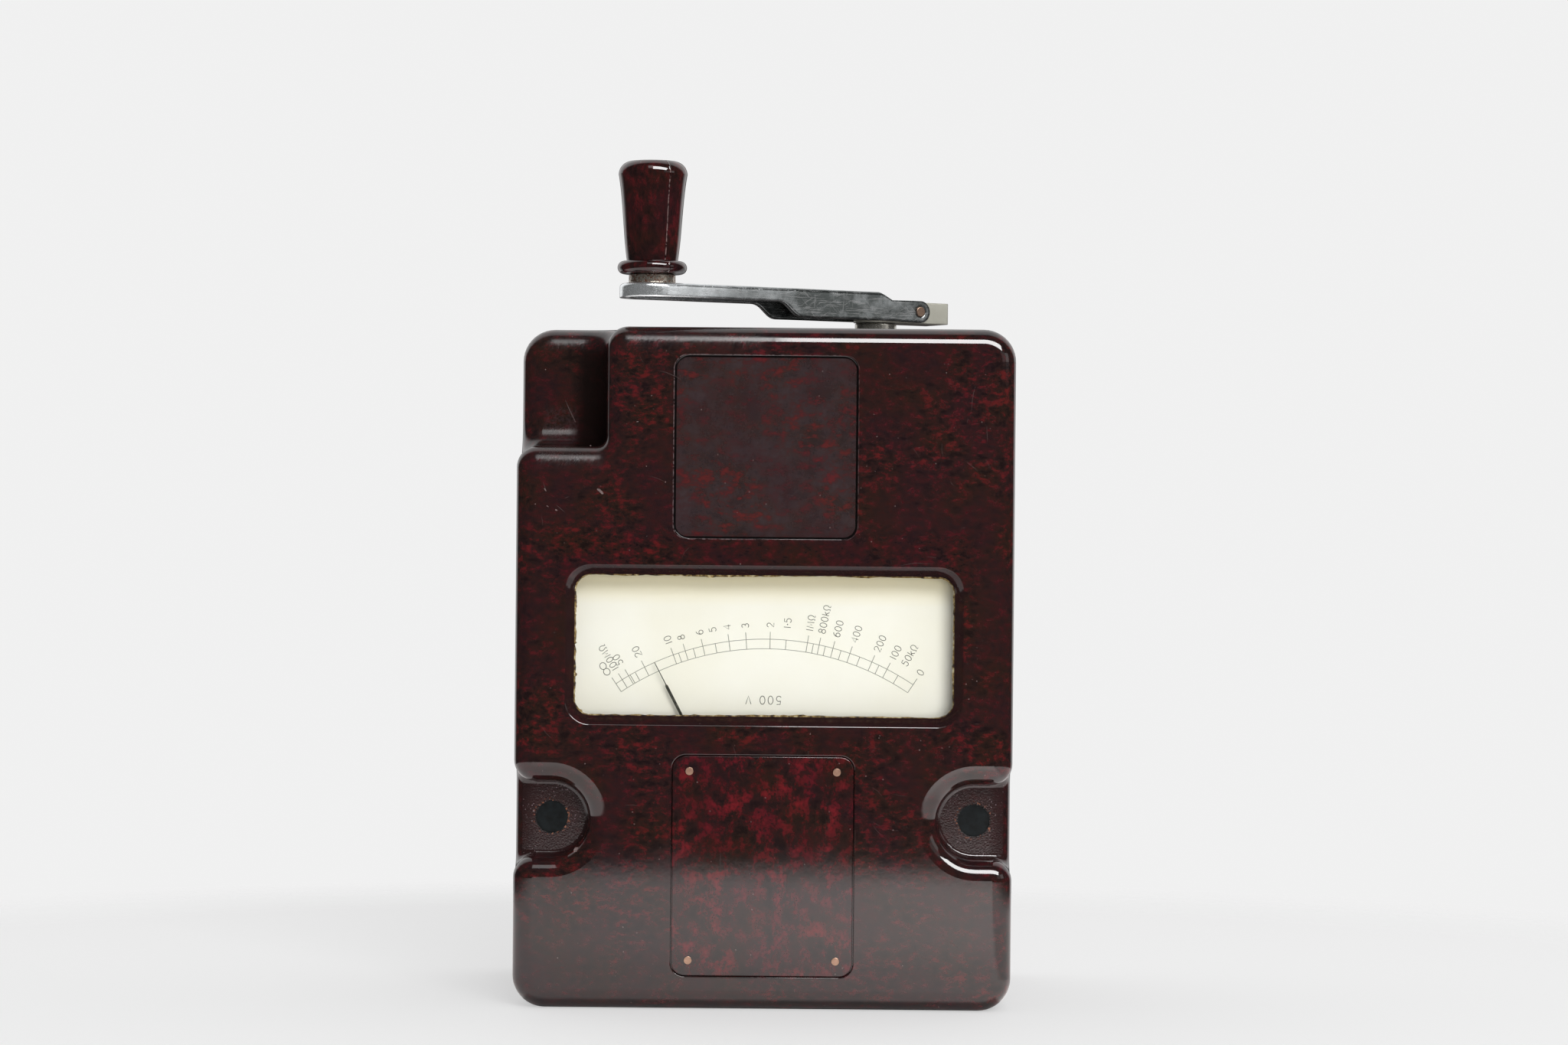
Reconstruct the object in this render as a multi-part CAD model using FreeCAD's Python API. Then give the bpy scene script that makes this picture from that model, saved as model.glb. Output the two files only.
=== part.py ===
import FreeCAD, Part
import math
import os

from FreeCAD import Vector

# Hand-cranked insulation tester, standing on its narrow end as it is stored.
# Millimetres. X is to the right of the scale, Y goes from the scale face into the case,
# Z goes up from the standing end to the crank end. The origin is the centre of the standing end.

X = Vector(1, 0, 0)
Y = Vector(0, 1, 0)
Z = Vector(0, 0, 1)

# Case mouldings
case_width = 150.0
case_height = 205.0
case_depth = 110.0
case_wall = 4.0
case_corner = 9.8
front_edge_round = 6.0
corner_edge_round = 6.4
rear_edge_round = 4.0
base_depth = 14.0

# Pocket that takes the folded grip, and the two side recesses over the long case screws
pocket_width = 26.9
pocket_height = 36.2
pocket_depth = 26.0
pocket_cove = 8.0
pocket_corner = 3.0
recess_radius = 11.2
recess_depth = 12.0
recess_cove = 1.2
case_screw_inset = 11.2
case_screw_z = 56.7

# Window, glass and plates on the front face
window_side_margin = 17.9
window_height = 42.5
window_corner = 5.0
bevel_width = 2.7
bevel_depth = 3.0
gasket_thickness = 0.8
gasket_show = 0.5
glass_thickness = 3.0
glass_margin = 4.4
glass_side_gap = 1.0
clip_inset = 5.0
clip_boss_radius = 3.5
clip_rise_margin = 9.0
clip_grip = 3.0
clip_thickness = 1.0
clip_screw_radius = 1.0
clip_screw_bite = 5.0
title_panel_width = 54.8
title_panel_corner = 4.5
title_panel_depth = 1.0
title_panel_margin = 8.75
title_window_gap = 8.4
rating_plate_width = 54.2
rating_plate_height = 65.8
rating_plate_margin = 10.4
rating_window_gap = 9.05
rating_plate_corner = 4.0
rating_plate_thickness = 1.6
rating_plate_gap = 0.3
window_rim_round = 0.8
panel_rim_round = 0.3
rivet_radius = 1.2
rivet_spacing_x = 44.2
rivet_spacing_z = 56.7
rivet_grip = 1.8
rivet_dome = 0.15

# Case fasteners, seals and feet
case_screw_radius = 2.0
case_screw_head_radius = 4.2
case_screw_head_height = 3.0
case_boss_radius = 7.5
seal_radius = 4.8
seal_thickness = 2.2
seal_sink = 0.5
rear_screw_inset = 11.4
rear_screw_margin = 15.0
rear_screw_sink = 0.8
screw_head_gap = 0.3
rear_screw_length = 24.0
rear_boss_length = 26.0
foot_radius = 7.0
foot_height = 3.0
foot_socket = 1.0
foot_inset = 17.0
foot_low_z = 18.0
foot_high_margin = 35.0
foot_screw_radius = 1.5
foot_screw_head_radius = 2.8
foot_screw_bite = 4.0
foot_screw_sink = 2.2
foot_head_gap = 0.4
foot_edge_round = 1.2
hole_end_gap = 0.5

# Meter movement. The scale is centred on the pointer's axis.
meter_x = 0.5
scale_drop = 78.85
scale_radius = 80.8
pointer_rest_angle = -24.6
pointer_bend_radius = 63.7
pointer_bend = 0.9
dial_depth = 12.9
dial_thickness = 1.0
dial_margin = 6.0
dial_side_gap = 1.9
pointer_gap = 2.4
pointer_thickness = 0.4
lance_radius = 72.9
lance_half_width = 0.42
stem_half_width = 0.5
tip_half_width = 0.1
pointer_hub_radius = 2.2
pointer_hub_height = 1.2
tail_radius = 0.5
tail_length = 15.0
tail_nut_radius = 2.0
tail_nut_length = 5.4
weight_radius = 4.0
weight_drop = 9.5
weight_arm_width = 1.6
weight_arm_height = 3.0
weight_end_gap = 2.0
weight_collar_radius = 1.8
core_radius = 12.5
core_hole = 5.0
core_front = 26.0
core_slot = 1.2
core_foot_width = 6.0
core_foot_height = 5.0
core_foot_length = 4.0
pole_gap = 3.5
coil_thickness = 2.0
coil_width = 2.4
coil_clearance = 0.7
meter_pole_height = 30.0
bridge_thickness = 2.5
bridge_height = 9.0
bridge_leg_x = 24.0
bridge_leg_radius = 2.6
bridge_leg_spigot = 1.5
bridge_leg_bite = 4.0
front_bridge_gap = 1.6
meter_rear_gap = 1.1
spindle_radius = 0.6
jewel_radius = 1.6
meter_screw_x = 21.0
meter_screw_z = 11.0
meter_screw_radius = 1.5
meter_screw_head_radius = 2.8
meter_screw_head = 2.0
meter_screw_bite = 9.0
jewel_stand_out = 0.8
pivot_gap = 0.1

# Magnets and generator
magnet_inner_x = 28.0
magnet_thickness = 10.0
magnet_width = 24.0
magnet_screw_radius = 2.0
magnet_screw_head_radius = 3.4
magnet_screw_head = 2.4
magnet_screw_bite = 6.5
generator_depth = 51.0
armature_radius = 16.0
armature_length = 32.0
armature_gap = 0.5
armature_shaft_radius = 3.0
armature_slots = 12
slot_width = 3.0
slot_depth = 5.0
end_winding = 4.0
end_clearance = 2.0
pole_width = 38.0
pole_screw_x = 22.5
pole_screw_y = 14.0
pole_screw_radius = 1.5
pole_screw_bite = 7.5
bracket_pillar_radius = 2.6
bracket_pillar_bite = 4.0
bracket_overhang = 2.0
bearing_radius = 5.0
bearing_stand_out = 0.8
pole_opening = 10.0
commutator_radius = 7.0
commutator_length = 11.0
commutator_gap = 4.0
brush_size = 4.0
brush_length = 7.0
brush_wall = 2.0
brush_travel_gap = 0.05
running_gap = 0.04
end_play = 0.1

# Gear train, all of one module
gear_module = 0.8
main_teeth = 60
pinion_teeth = 15
wheel_teeth = 48
gear_width = 4.0
gear_level_gap = 4.0
tooth_thinning = 0.08
pressure_angle = 20.0
plate_thickness = 2.5
plate_spacing = 23.5
plate_top_gap = 4.5
pillar_radius = 3.0
pillar_spigot = 1.5
pillar_gear_gap = 1.2
arbor_radius = 2.5
arbor_journal = 1.5
gear_hub_wall = 3.5
gear_hub_length = 3.5
plate_screw_radius = 1.5
plate_screw_head_radius = 2.8
plate_screw_head = 1.8
plate_screw_bite = 1.0
plate_boss_radius = 4.0
plate_edge = 6.0
plate_pocket_gap = 2.1
plate_screw_reach = 12.0
wheel_lift = 7.0

# Crank
crank_inset = 41.4
crank_angle = 30.0
crank_throw = 79.2
hinge_offset = 11.4
shaft_radius = 4.0
shaft_journal = 3.0
bush_radius = 6.45
bush_rise = 3.7
bush_flange_radius = 9.0
bush_flange = 2.0
hub_half_width = 6.3
hub_tail = 22.9
hub_nose = 7.0
hub_height = 6.6
hub_lift = 0.2
stop_pad = 0.6
hinge_height = 7.5
hinge_pin_radius = 1.6
arm_sheet = 1.8
arm_top = 13.2
arm_hub_half_width = 8.2
arm_grip_half_width = 9.8
arm_deep = 8.8
arm_shallow = 4.3
arm_deep_end = 31.0
arm_shallow_start = 40.0
arm_web_end = 3.4
arm_ear_top = 10.8
arm_ear_radius = 3.4
grip_spindle_radius = 3.0
grip_washer_radius = 7.05
grip_washer_height = 2.8
grip_height = 34.1
grip_ring_radius = 10.5
grip_ring_height = 3.9
grip_waist_radius = 7.7
grip_top_radius = 10.4
grip_top_round = 4.0
grip_crown_rise = 0.25
grip_bore_end = 6.0

# Terminals in the recess of the standing end
terminal_x = 28.0
terminal_side_margin = 25.0
terminal_recess_depth = 20.0
terminal_magnet_gap = 1.0
terminal_recess_wall = 3.0
terminal_recess_corner = 6.0
terminal_rim_round = 1.2
stud_radius = 2.6
stud_flange_radius = 5.5
stud_flange = 1.5
stud_inner_length = 9.0
stud_knob_gap = 2.2
nut_across = 9.0
nut_height = 4.0
knob_radius = 7.0
knob_height = 12.5
knob_flutes = 20
knob_cap = 1.6
clamp_washer_radius = 5.5
clamp_washer = 1.2
thread_clearance = 0.05

# Series resistors on their board, and the inner wiring
board_thickness = 2.0
board_width = 76.0
board_height = 36.0
board_gap = 6.5
board_standoff = 8.0
board_pillar_radius = 3.0
board_pillar_spigot = 1.5
board_pillar_bite = 5.0
board_pillar_end = 1.0
bobbin_radius = 9.0
bobbin_length = 18.0
bobbin_core_radius = 4.5
bobbin_flange = 1.5
bobbin_spacing = 32.0
wire_radius = 0.9
wire_bend = 5.0

# Places that follow from the sizes above
side = case_width / 2
front = -case_depth / 2
back = case_depth / 2
top = case_height
over = 1.0
parting = back - base_depth
pocket_wall_x = pocket_width - side
pocket_ledge_z = top - pocket_height
case_screw_x = side - case_screw_inset
rear_screw_x = side - rear_screw_inset
rear_screw_z = top - rear_screw_margin
foot_x = side - foot_inset
foot_high_z = top - foot_high_margin
window_width = case_width - 2 * window_side_margin
rating_plate_z = rating_plate_margin + rating_plate_height / 2
rating_plate_top = rating_plate_margin + rating_plate_height
window_z = rating_plate_top + rating_window_gap + bevel_width + window_height / 2
title_panel_low = window_z + window_height / 2 + bevel_width + title_window_gap
title_panel_high = top - title_panel_margin
title_panel_z = (title_panel_low + title_panel_high) / 2
title_panel_height = title_panel_high - title_panel_low
inner_front = front + case_wall
inner_top = top - case_wall
pocket_floor = front + pocket_depth
recess_floor = front + recess_depth
glass_front = inner_front + gasket_thickness
glass_back = glass_front + glass_thickness
clip_x = side - case_wall - clip_inset
glass_half_width = clip_x - clip_boss_radius - glass_side_gap
glass_half_height = window_height / 2 + glass_margin
meter_z = window_z - scale_drop
dial_front = front + dial_depth
dial_back = dial_front + dial_thickness
pointer_y = dial_front - pointer_gap
core_y0 = front + core_front
generator_y = front + generator_depth
magnet_y0 = generator_y - magnet_width / 2
magnet_y1 = generator_y + magnet_width / 2
meter_pole_y1 = magnet_y1 - meter_rear_gap - meter_screw_head - bridge_thickness
coil_y1 = meter_pole_y1 - coil_clearance
core_y1 = coil_y1 - coil_thickness - coil_clearance
core_length = core_y1 - core_y0
pole_bore = core_radius + pole_gap
coil_inner = core_radius + coil_clearance
coil_outer = coil_inner + coil_thickness
coil_y0 = core_y0 - coil_clearance - coil_thickness
meter_pole_y0 = coil_y0
front_bridge_y = pointer_y - front_bridge_gap - bridge_thickness
crank_x = side - crank_inset
crank_y = generator_y
plate_top = inner_top - plate_top_gap
plate_low = plate_top - 2 * plate_thickness - plate_spacing
low_plate_top = plate_low + plate_thickness
high_plate_bottom = plate_top - plate_thickness
core_top = plate_low - end_clearance - end_winding
core_bottom = core_top - armature_length
generator_pole_bottom = core_bottom - end_winding - end_clearance
commutator_top = core_bottom - end_winding - commutator_gap
commutator_bottom = commutator_top - commutator_length
bracket_top = commutator_bottom - commutator_gap
bracket_bottom = bracket_top - plate_thickness
magnet_top = plate_low - end_clearance
magnet_bottom = meter_z - meter_pole_height / 2
magnet_outer_x = magnet_inner_x + magnet_thickness
board_z = bracket_bottom - board_gap - board_height / 2
main_pitch = main_teeth * gear_module / 2
pinion_pitch = pinion_teeth * gear_module / 2
wheel_pitch = wheel_teeth * gear_module / 2
tooth_rise = 0.8 * gear_module
tooth_fall = 1.1 * gear_module
first_centres = main_pitch + pinion_pitch
second_centres = wheel_pitch + pinion_pitch
wheel_x = (second_centres**2 - first_centres**2 + crank_x**2) / (2 * crank_x)
wheel_y = generator_y + math.sqrt(second_centres**2 - wheel_x**2)
wheel_level = low_plate_top + wheel_lift
main_level = wheel_level + gear_width + gear_level_gap
hub_bottom = top + bush_rise + hub_lift
hub_top = hub_bottom + hub_height
hinge_z = top + hinge_height
web_top = top + arm_top
web_under = web_top - arm_sheet
grip_bottom = web_top + grip_washer_height + end_play
terminal_recess_width = case_width - 2 * terminal_side_margin
terminal_recess_y0 = magnet_y1 + terminal_magnet_gap + terminal_recess_wall
terminal_recess_y1 = parting - terminal_recess_wall
terminal_y = (terminal_recess_y0 + terminal_recess_y1) / 2
clamp_top = terminal_recess_depth - stud_flange
knob_top = clamp_top - clamp_washer
knob_bottom = knob_top - knob_height
stud_end = terminal_recess_depth + terminal_recess_wall + stud_inner_length


def block(x0, x1, y0, y1, z0, z1):
    return Part.makeBox(x1 - x0, y1 - y0, z1 - z0, Vector(x0, y0, z0))


def rod(radius, start, direction, length):
    return Part.makeCylinder(radius, length, start, direction)


def tube(outer, inner, start, direction, length):
    return rod(outer, start, direction, length).cut(rod(inner, start, direction, length))


def join(solids):
    return solids[0].fuse(solids[1:]).removeSplitter()


def cut(solid, tools):
    return solid.cut(Part.makeCompound(tools)).removeSplitter()


def samples(edge):
    first, last = edge.ParameterRange
    return [edge.valueAt(first + (last - first) * step / 4) for step in range(5)]


def edges_where(solid, test):
    return [edge for edge in solid.Edges if all(test(point) for point in samples(edge))]


def near(value, target):
    return abs(value - target) < 0.001


def round_along(solid, direction, radius):
    """Round the straight edges of a solid that run along one direction."""
    picked = []
    for edge in solid.Edges:
        if isinstance(edge.Curve, Part.Line) and edge.tangentAt(0).cross(direction).Length < 1e-6:
            picked.append(edge)
    return solid.makeFillet(radius, picked)


def plate_y(x0, x1, y0, y1, z0, z1, corner):
    """A plate square to Y with round corners."""
    return round_along(block(x0, x1, y0, y1, z0, z1), Y, corner)


def place(solid, at, direction):
    """Move a solid drawn along +Z from the origin to a place and a direction."""
    moved = solid.copy()
    moved.Placement = FreeCAD.Placement(at, FreeCAD.Rotation(Z, direction))
    return moved


def screw(at, direction, length, radius, head_radius, head_height):
    """A slotted cheese-head screw. The point is under the head, the direction goes into the hole."""
    head = rod(head_radius, Vector(0, 0, -head_height), Z, head_height)
    slot = block(-head_radius, head_radius, -0.2 * head_radius, 0.2 * head_radius, -head_height,
                 -0.55 * head_height)
    shank = rod(radius, Vector(0, 0, -0.2 * head_height), Z, length + 0.2 * head_height)
    return place(head.cut(slot).fuse(shank).removeSplitter(), at, direction)


def both_sides(make):
    """Two solids, made for the right side (+1) and the left side (-1)."""
    return [make(1), make(-1)]


def turned_profile(points, axis_point, axis):
    """A solid of revolution from a closed list of edges."""
    face = Part.Face(Part.Wire(points))
    return face.revolve(axis_point, axis, 360)


def polygon_prism(points, direction):
    return Part.Face(Part.makePolygon(points + [points[0]])).extrude(direction)


# Case

def case_block(y0, y1, inset):
    """The case outline between two depths, drawn in from the outer faces by the inset."""
    return plate_y(-side + inset, side - inset, y0, y1, inset, top - inset, case_corner - inset)


def pocket_void():
    """The space of the grip pocket: open to the front, the left and the top, coved at its floor."""
    reach = case_corner
    low = (-side - reach, pocket_wall_x, front - reach, pocket_floor, pocket_ledge_z, top + reach)
    beside_wall = block(*low)
    wall_cove = edges_where(beside_wall, lambda p: near(p.x, pocket_wall_x) and near(p.y, pocket_floor))
    beside_wall = beside_wall.makeFillet(pocket_cove, wall_cove)
    over_ledge = block(*low)
    ledge_cove = edges_where(over_ledge, lambda p: near(p.z, pocket_ledge_z) and near(p.y, pocket_floor))
    over_ledge = over_ledge.makeFillet(pocket_cove, ledge_cove)
    in_corner = block(*low)
    corner = edges_where(in_corner, lambda p: near(p.x, pocket_wall_x) and near(p.z, pocket_ledge_z))
    in_corner = in_corner.makeFillet(pocket_corner, corner)
    return beside_wall.common(over_ledge).common(in_corner)


def recess_void(sign):
    """The space of a side recess: a half round about the case screw, run out through the side."""
    start = Vector(sign * case_screw_x, front - recess_radius, case_screw_z)
    depth = recess_depth + recess_radius
    reach = side + recess_radius - case_screw_x
    run_out = block(0, reach, 0, depth, -recess_radius, recess_radius)
    run_out.rotate(Vector(0, 0, 0), Z, 0 if sign > 0 else 180)
    run_out.translate(start if sign > 0 else start + Y * depth)
    void = join([rod(recess_radius, start, Y, depth), run_out])
    limit = side + 0.5 * recess_radius
    floor_edges = edges_where(void, lambda p: near(p.y, recess_floor) and sign * p.x < limit)
    inside = [edge for edge in floor_edges if sign * edge.CenterOfMass.x < side + 0.4 * recess_radius]
    return void.makeFillet(recess_cove, inside)


def on_left_skin(point):
    in_corner = point.x < -side + case_corner and point.z > top - case_corner
    from_axis = math.hypot(point.x + side - case_corner, point.z - top + case_corner)
    return near(point.z, top) or near(point.x, -side) or (in_corner and near(from_axis, case_corner))


def pocket_rim(solid):
    def test(p):
        beside = p.x < pocket_wall_x + 0.001 and p.z > pocket_ledge_z - 0.001
        return beside and p.y < pocket_floor + 0.001 and on_left_skin(p)
    return [edge for edge in edges_where(solid, test) if edge.CenterOfMass.y > front + 0.1]


def recess_rim(solid, sign):
    def test(p):
        beside = abs(p.z - case_screw_z) < recess_radius + 0.001
        return beside and p.y < recess_floor + 0.001 and near(sign * p.x, side)
    return [edge for edge in edges_where(solid, test) if edge.CenterOfMass.y > front + 0.1]


def shell_outside():
    """The outer form of the front moulding with every visible edge rounded."""
    solid = case_block(front, parting, 0)
    solid = cut(solid, [pocket_void(), recess_void(1), recess_void(-1)])
    solid = solid.makeFillet(corner_edge_round, pocket_rim(solid))
    for sign in (1, -1):
        solid = solid.makeFillet(corner_edge_round, recess_rim(solid, sign))
    outline = edges_where(solid, lambda p: near(p.y, front))
    return solid.makeFillet(front_edge_round, outline)


def case_screw_line(sign):
    return Vector(sign * case_screw_x, recess_floor, case_screw_z)


def glass_clip_spots():
    rise = window_height / 2 - clip_rise_margin
    return [
        Vector(sign * clip_x, inner_front, window_z + tilt * rise)
        for sign in (1, -1)
        for tilt in (1, -1)
    ]


def dial_post_spots():
    return [Vector(sign * clip_x, inner_front, window_z) for sign in (1, -1)]


def meter_screw_spots():
    return [
        Vector(meter_x + sign * meter_screw_x, 0, meter_z + tilt * meter_screw_z)
        for sign in (1, -1)
        for tilt in (1, -1)
    ]


def plate_screw_spots():
    left = pocket_wall_x + case_wall + plate_pocket_gap + plate_edge
    right = crank_x + plate_screw_reach
    near_front = generator_y - pole_width / 2 - bracket_overhang
    return [Vector(left, near_front, 0), Vector(left, generator_y + pole_screw_y - over, 0),
            Vector(right, near_front, 0)]


def rear_screw_spots():
    return [Vector(sign * rear_screw_x, back, rear_screw_z) for sign in (1, -1)]


def shell_inside():
    """The hollow of the front moulding, less its inner walls and bosses."""
    hollow = case_block(inner_front, parting, case_wall)
    pocket_wall = block(-side, pocket_wall_x + case_wall, front, pocket_floor + case_wall,
                        pocket_ledge_z - case_wall, top)
    kept = [round_along(pocket_wall, Y, pocket_corner)]
    half = terminal_recess_width / 2 + terminal_recess_wall
    kept.append(plate_y(-half, half, terminal_recess_y0 - terminal_recess_wall, parting, -case_wall,
                        terminal_recess_depth + terminal_recess_wall, 1.0))
    for sign in (1, -1):
        start = Vector(sign * case_screw_x, front, case_screw_z)
        cup = recess_radius + case_wall
        kept.append(rod(cup, start, Y, recess_depth + case_wall))
        kept.append(block(min(sign * case_screw_x, sign * side), max(sign * case_screw_x, sign * side), front,
                          recess_floor + case_wall, case_screw_z - cup, case_screw_z + cup))
        kept.append(rod(case_boss_radius, start, Y, parting - front))
        boss = Vector(sign * rear_screw_x, parting - rear_boss_length, rear_screw_z)
        kept.append(rod(case_boss_radius, boss, Y, rear_boss_length))
    for spot in glass_clip_spots():
        kept.append(rod(clip_boss_radius, spot, Y, glass_back - inner_front))
    for spot in dial_post_spots():
        kept.append(rod(clip_boss_radius, spot, Y, dial_front - inner_front))
    for spot in meter_screw_spots():
        kept.append(rod(plate_boss_radius, spot + Y * inner_front, Y, meter_pole_y0 - inner_front))
    for spot in plate_screw_spots():
        kept.append(rod(plate_boss_radius, spot + Z * plate_top, Z, inner_top - plate_top))
    return cut(hollow, kept)


def window_void():
    half_width = window_width / 2
    half_height = window_height / 2
    opening = plate_y(-half_width, half_width, front - 1, inner_front + 1, window_z - half_height,
                      window_z + half_height, window_corner)
    wide = plate_y(-half_width - bevel_width, half_width + bevel_width, front, front + 1,
                   window_z - half_height - bevel_width, window_z + half_height + bevel_width,
                   window_corner + bevel_width)
    narrow = plate_y(-half_width, half_width, front + bevel_depth, front + bevel_depth + 1,
                     window_z - half_height, window_z + half_height, window_corner)
    rims = []
    for solid, level in ((wide, front), (narrow, front + bevel_depth)):
        rims.append([face for face in solid.Faces if near(face.CenterOfMass.y, level)][0].OuterWire)
    return join([opening, Part.makeLoft(rims, True, True)])


def rating_void():
    half_width = rating_plate_width / 2 + rating_plate_gap
    half_height = rating_plate_height / 2 + rating_plate_gap
    return plate_y(-half_width, half_width, front - 1, front + rating_plate_thickness,
                   rating_plate_z - half_height, rating_plate_z + half_height,
                   rating_plate_corner + rating_plate_gap)


def rivet_spots():
    return [
        Vector(sign * rivet_spacing_x / 2, front, rating_plate_z + tilt * rivet_spacing_z / 2)
        for sign in (1, -1)
        for tilt in (1, -1)
    ]


def rim(solid, level, half_width, z0, z1):
    """The edges of a feature on a flat face at one depth, found by the feature's own limits."""
    def test(p):
        return near(p.y, level) and abs(p.x) < half_width + 0.01 and z0 - 0.01 < p.z < z1 + 0.01
    return edges_where(solid, test)


def front_rims(solid):
    """Round the rims of the window, the title panel and the plate recess on the front face."""
    half_width = window_width / 2 + bevel_width
    half_height = window_height / 2 + bevel_width
    edges = rim(solid, front, half_width, window_z - half_height, window_z + half_height)
    solid = solid.makeFillet(window_rim_round, edges)
    half_height = title_panel_height / 2
    edges = rim(solid, front, title_panel_width / 2, title_panel_z - half_height, title_panel_z + half_height)
    half_height = rating_plate_height / 2 + rating_plate_gap
    edges += rim(solid, front, rating_plate_width / 2 + rating_plate_gap, rating_plate_z - half_height,
                 rating_plate_z + half_height)
    return solid.makeFillet(panel_rim_round, edges)


def front_shell():
    """The deep front moulding that carries everything inside."""
    solid = shell_outside().cut(shell_inside())
    half_width = title_panel_width / 2
    half_height = title_panel_height / 2
    panel = plate_y(-half_width, half_width, front - 1, front + title_panel_depth,
                    title_panel_z - half_height, title_panel_z + half_height, title_panel_corner)
    half = terminal_recess_width / 2
    recess = block(-half, half, terminal_recess_y0, terminal_recess_y1, -1, terminal_recess_depth)
    solid = cut(solid, [window_void(), panel, rating_void(), round_along(recess, Z, terminal_recess_corner)])
    solid = front_rims(solid)
    mouth = edges_where(solid, lambda p: near(p.z, 0) and abs(p.x) < half + 0.01
                        and terminal_recess_y0 - 0.01 < p.y < terminal_recess_y1 + 0.01)
    solid = solid.makeFillet(terminal_rim_round, mouth)
    tools = [rod(bush_radius, Vector(crank_x, crank_y, inner_top - 1), Z, case_wall + 2)]
    head_room = seal_sink + seal_thickness + case_screw_head_height
    for sign in (1, -1):
        line = case_screw_line(sign)
        tools.append(rod(seal_radius, line - Y, Y, head_room + 1))
        tools.append(rod(case_screw_radius, line, Y, parting - recess_floor + 1))
        tools.append(rod(stud_radius, Vector(sign * terminal_x, terminal_y, 0), Z,
                         terminal_recess_depth + terminal_recess_wall + 1))
    for spot in rear_screw_spots():
        tools.append(rod(case_screw_radius, spot - Y * base_depth - Y * rear_screw_length, Y,
                         rear_screw_length + 1))
    for spot in rivet_spots():
        tools.append(rod(rivet_radius, spot, Y, rating_plate_thickness + rivet_grip))
    for spot in glass_clip_spots():
        hole = spot + Y * (glass_back - inner_front - clip_screw_bite)
        tools.append(rod(clip_screw_radius, hole, Y, clip_screw_bite + over))
    for spot in dial_post_spots():
        hole = spot + Y * (dial_front - inner_front - clip_screw_bite)
        tools.append(rod(clip_screw_radius, hole, Y, clip_screw_bite + over))
    for spot in meter_screw_spots():
        hole = spot + Y * (meter_pole_y0 - meter_screw_bite - hole_end_gap)
        tools.append(rod(meter_screw_radius, hole, Y, meter_screw_bite + hole_end_gap + over))
    for spot in plate_screw_spots():
        tools.append(rod(plate_screw_radius, spot + Z * (plate_top - over), Z,
                         plate_top_gap + plate_screw_bite + hole_end_gap + over))
    return cut(solid, tools)


def foot_spots():
    return [Vector(sign * foot_x, back, level) for sign in (1, -1) for level in (foot_low_z, foot_high_z)]


def rear_cover():
    """The shallow rear moulding that closes the case and carries the feet."""
    solid = case_block(parting, back, 0)
    solid = solid.makeFillet(rear_edge_round, edges_where(solid, lambda p: near(p.y, back)))
    hollow = case_block(parting, back - case_wall, case_wall)
    kept = []
    for sign in (1, -1):
        kept.append(rod(case_boss_radius, Vector(sign * case_screw_x, parting, case_screw_z), Y, base_depth))
        kept.append(rod(case_boss_radius, Vector(sign * rear_screw_x, parting, rear_screw_z), Y, base_depth))
    for spot in foot_spots():
        kept.append(rod(foot_radius, spot - Y * base_depth / 2, Y, base_depth / 2))
    solid = solid.cut(cut(hollow, kept))
    tools = []
    for sign in (1, -1):
        tools.append(rod(case_screw_radius, Vector(sign * case_screw_x, parting - 1, case_screw_z), Y,
                         base_depth - case_wall + 1))
    for spot in rear_screw_spots():
        tools.append(rod(case_screw_radius, spot - Y * (base_depth + 1), Y, base_depth + 2))
        seat = spot - Y * (case_screw_head_height + rear_screw_sink)
        tools.append(rod(case_screw_head_radius + screw_head_gap, seat, Y, 2 * case_screw_head_height))
    for spot in foot_spots():
        tools.append(rod(foot_radius, spot - Y * foot_socket, Y, foot_socket + 1))
        tools.append(rod(foot_screw_radius, spot - Y * (foot_socket + foot_screw_bite), Y,
                         foot_screw_bite + over))
    return cut(solid, tools)


def window_gasket():
    """Sealing frame between the glass and the front wall, just showing inside the opening."""
    half_width = window_width / 2
    half_height = window_height / 2
    outer = plate_y(-glass_half_width, glass_half_width, inner_front, glass_front,
                    window_z - glass_half_height, window_z + glass_half_height, window_corner)
    half_width -= gasket_show
    half_height -= gasket_show
    inner = plate_y(-half_width, half_width, inner_front - over, glass_front + over,
                    window_z - half_height, window_z + half_height, window_corner - gasket_show)
    return outer.cut(inner)


def window_glass():
    return plate_y(-glass_half_width, glass_half_width, glass_front, glass_back,
                   window_z - glass_half_height, window_z + glass_half_height, window_corner)


def glass_clips():
    """Four brass straps, each on its boss with one end over the edge of the glass."""
    clips = []
    for spot in glass_clip_spots():
        sign = 1 if spot.x > 0 else -1
        ends = sorted((sign * (glass_half_width - clip_grip), sign * (clip_x + clip_boss_radius)))
        strap = block(ends[0], ends[1], glass_back, glass_back + clip_thickness, spot.z - clip_boss_radius,
                      spot.z + clip_boss_radius)
        clips.append(strap.cut(rod(clip_screw_radius, spot, Y, case_depth)))
    return clips


def glass_and_dial_screws():
    head_radius = 2 * clip_screw_radius
    head = 1.4 * clip_screw_radius
    length = clip_screw_bite + clip_thickness - hole_end_gap
    clips = [screw(spot + Y * (glass_back + clip_thickness - inner_front), -Y, length, clip_screw_radius,
                   head_radius, head) for spot in glass_clip_spots()]
    dial = [screw(spot + Y * (dial_back - inner_front), -Y, length, clip_screw_radius, head_radius, head)
            for spot in dial_post_spots()]
    return clips + dial


def dial_plate():
    """The scale plate, on two posts behind the glass."""
    half_width = side - case_wall - dial_side_gap
    half_height = window_height / 2 + dial_margin
    plate = plate_y(-half_width, half_width, dial_front, dial_back, window_z - half_height,
                    window_z + half_height, window_corner)
    return cut(plate, [rod(clip_screw_radius, spot, Y, dial_depth) for spot in dial_post_spots()])


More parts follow.
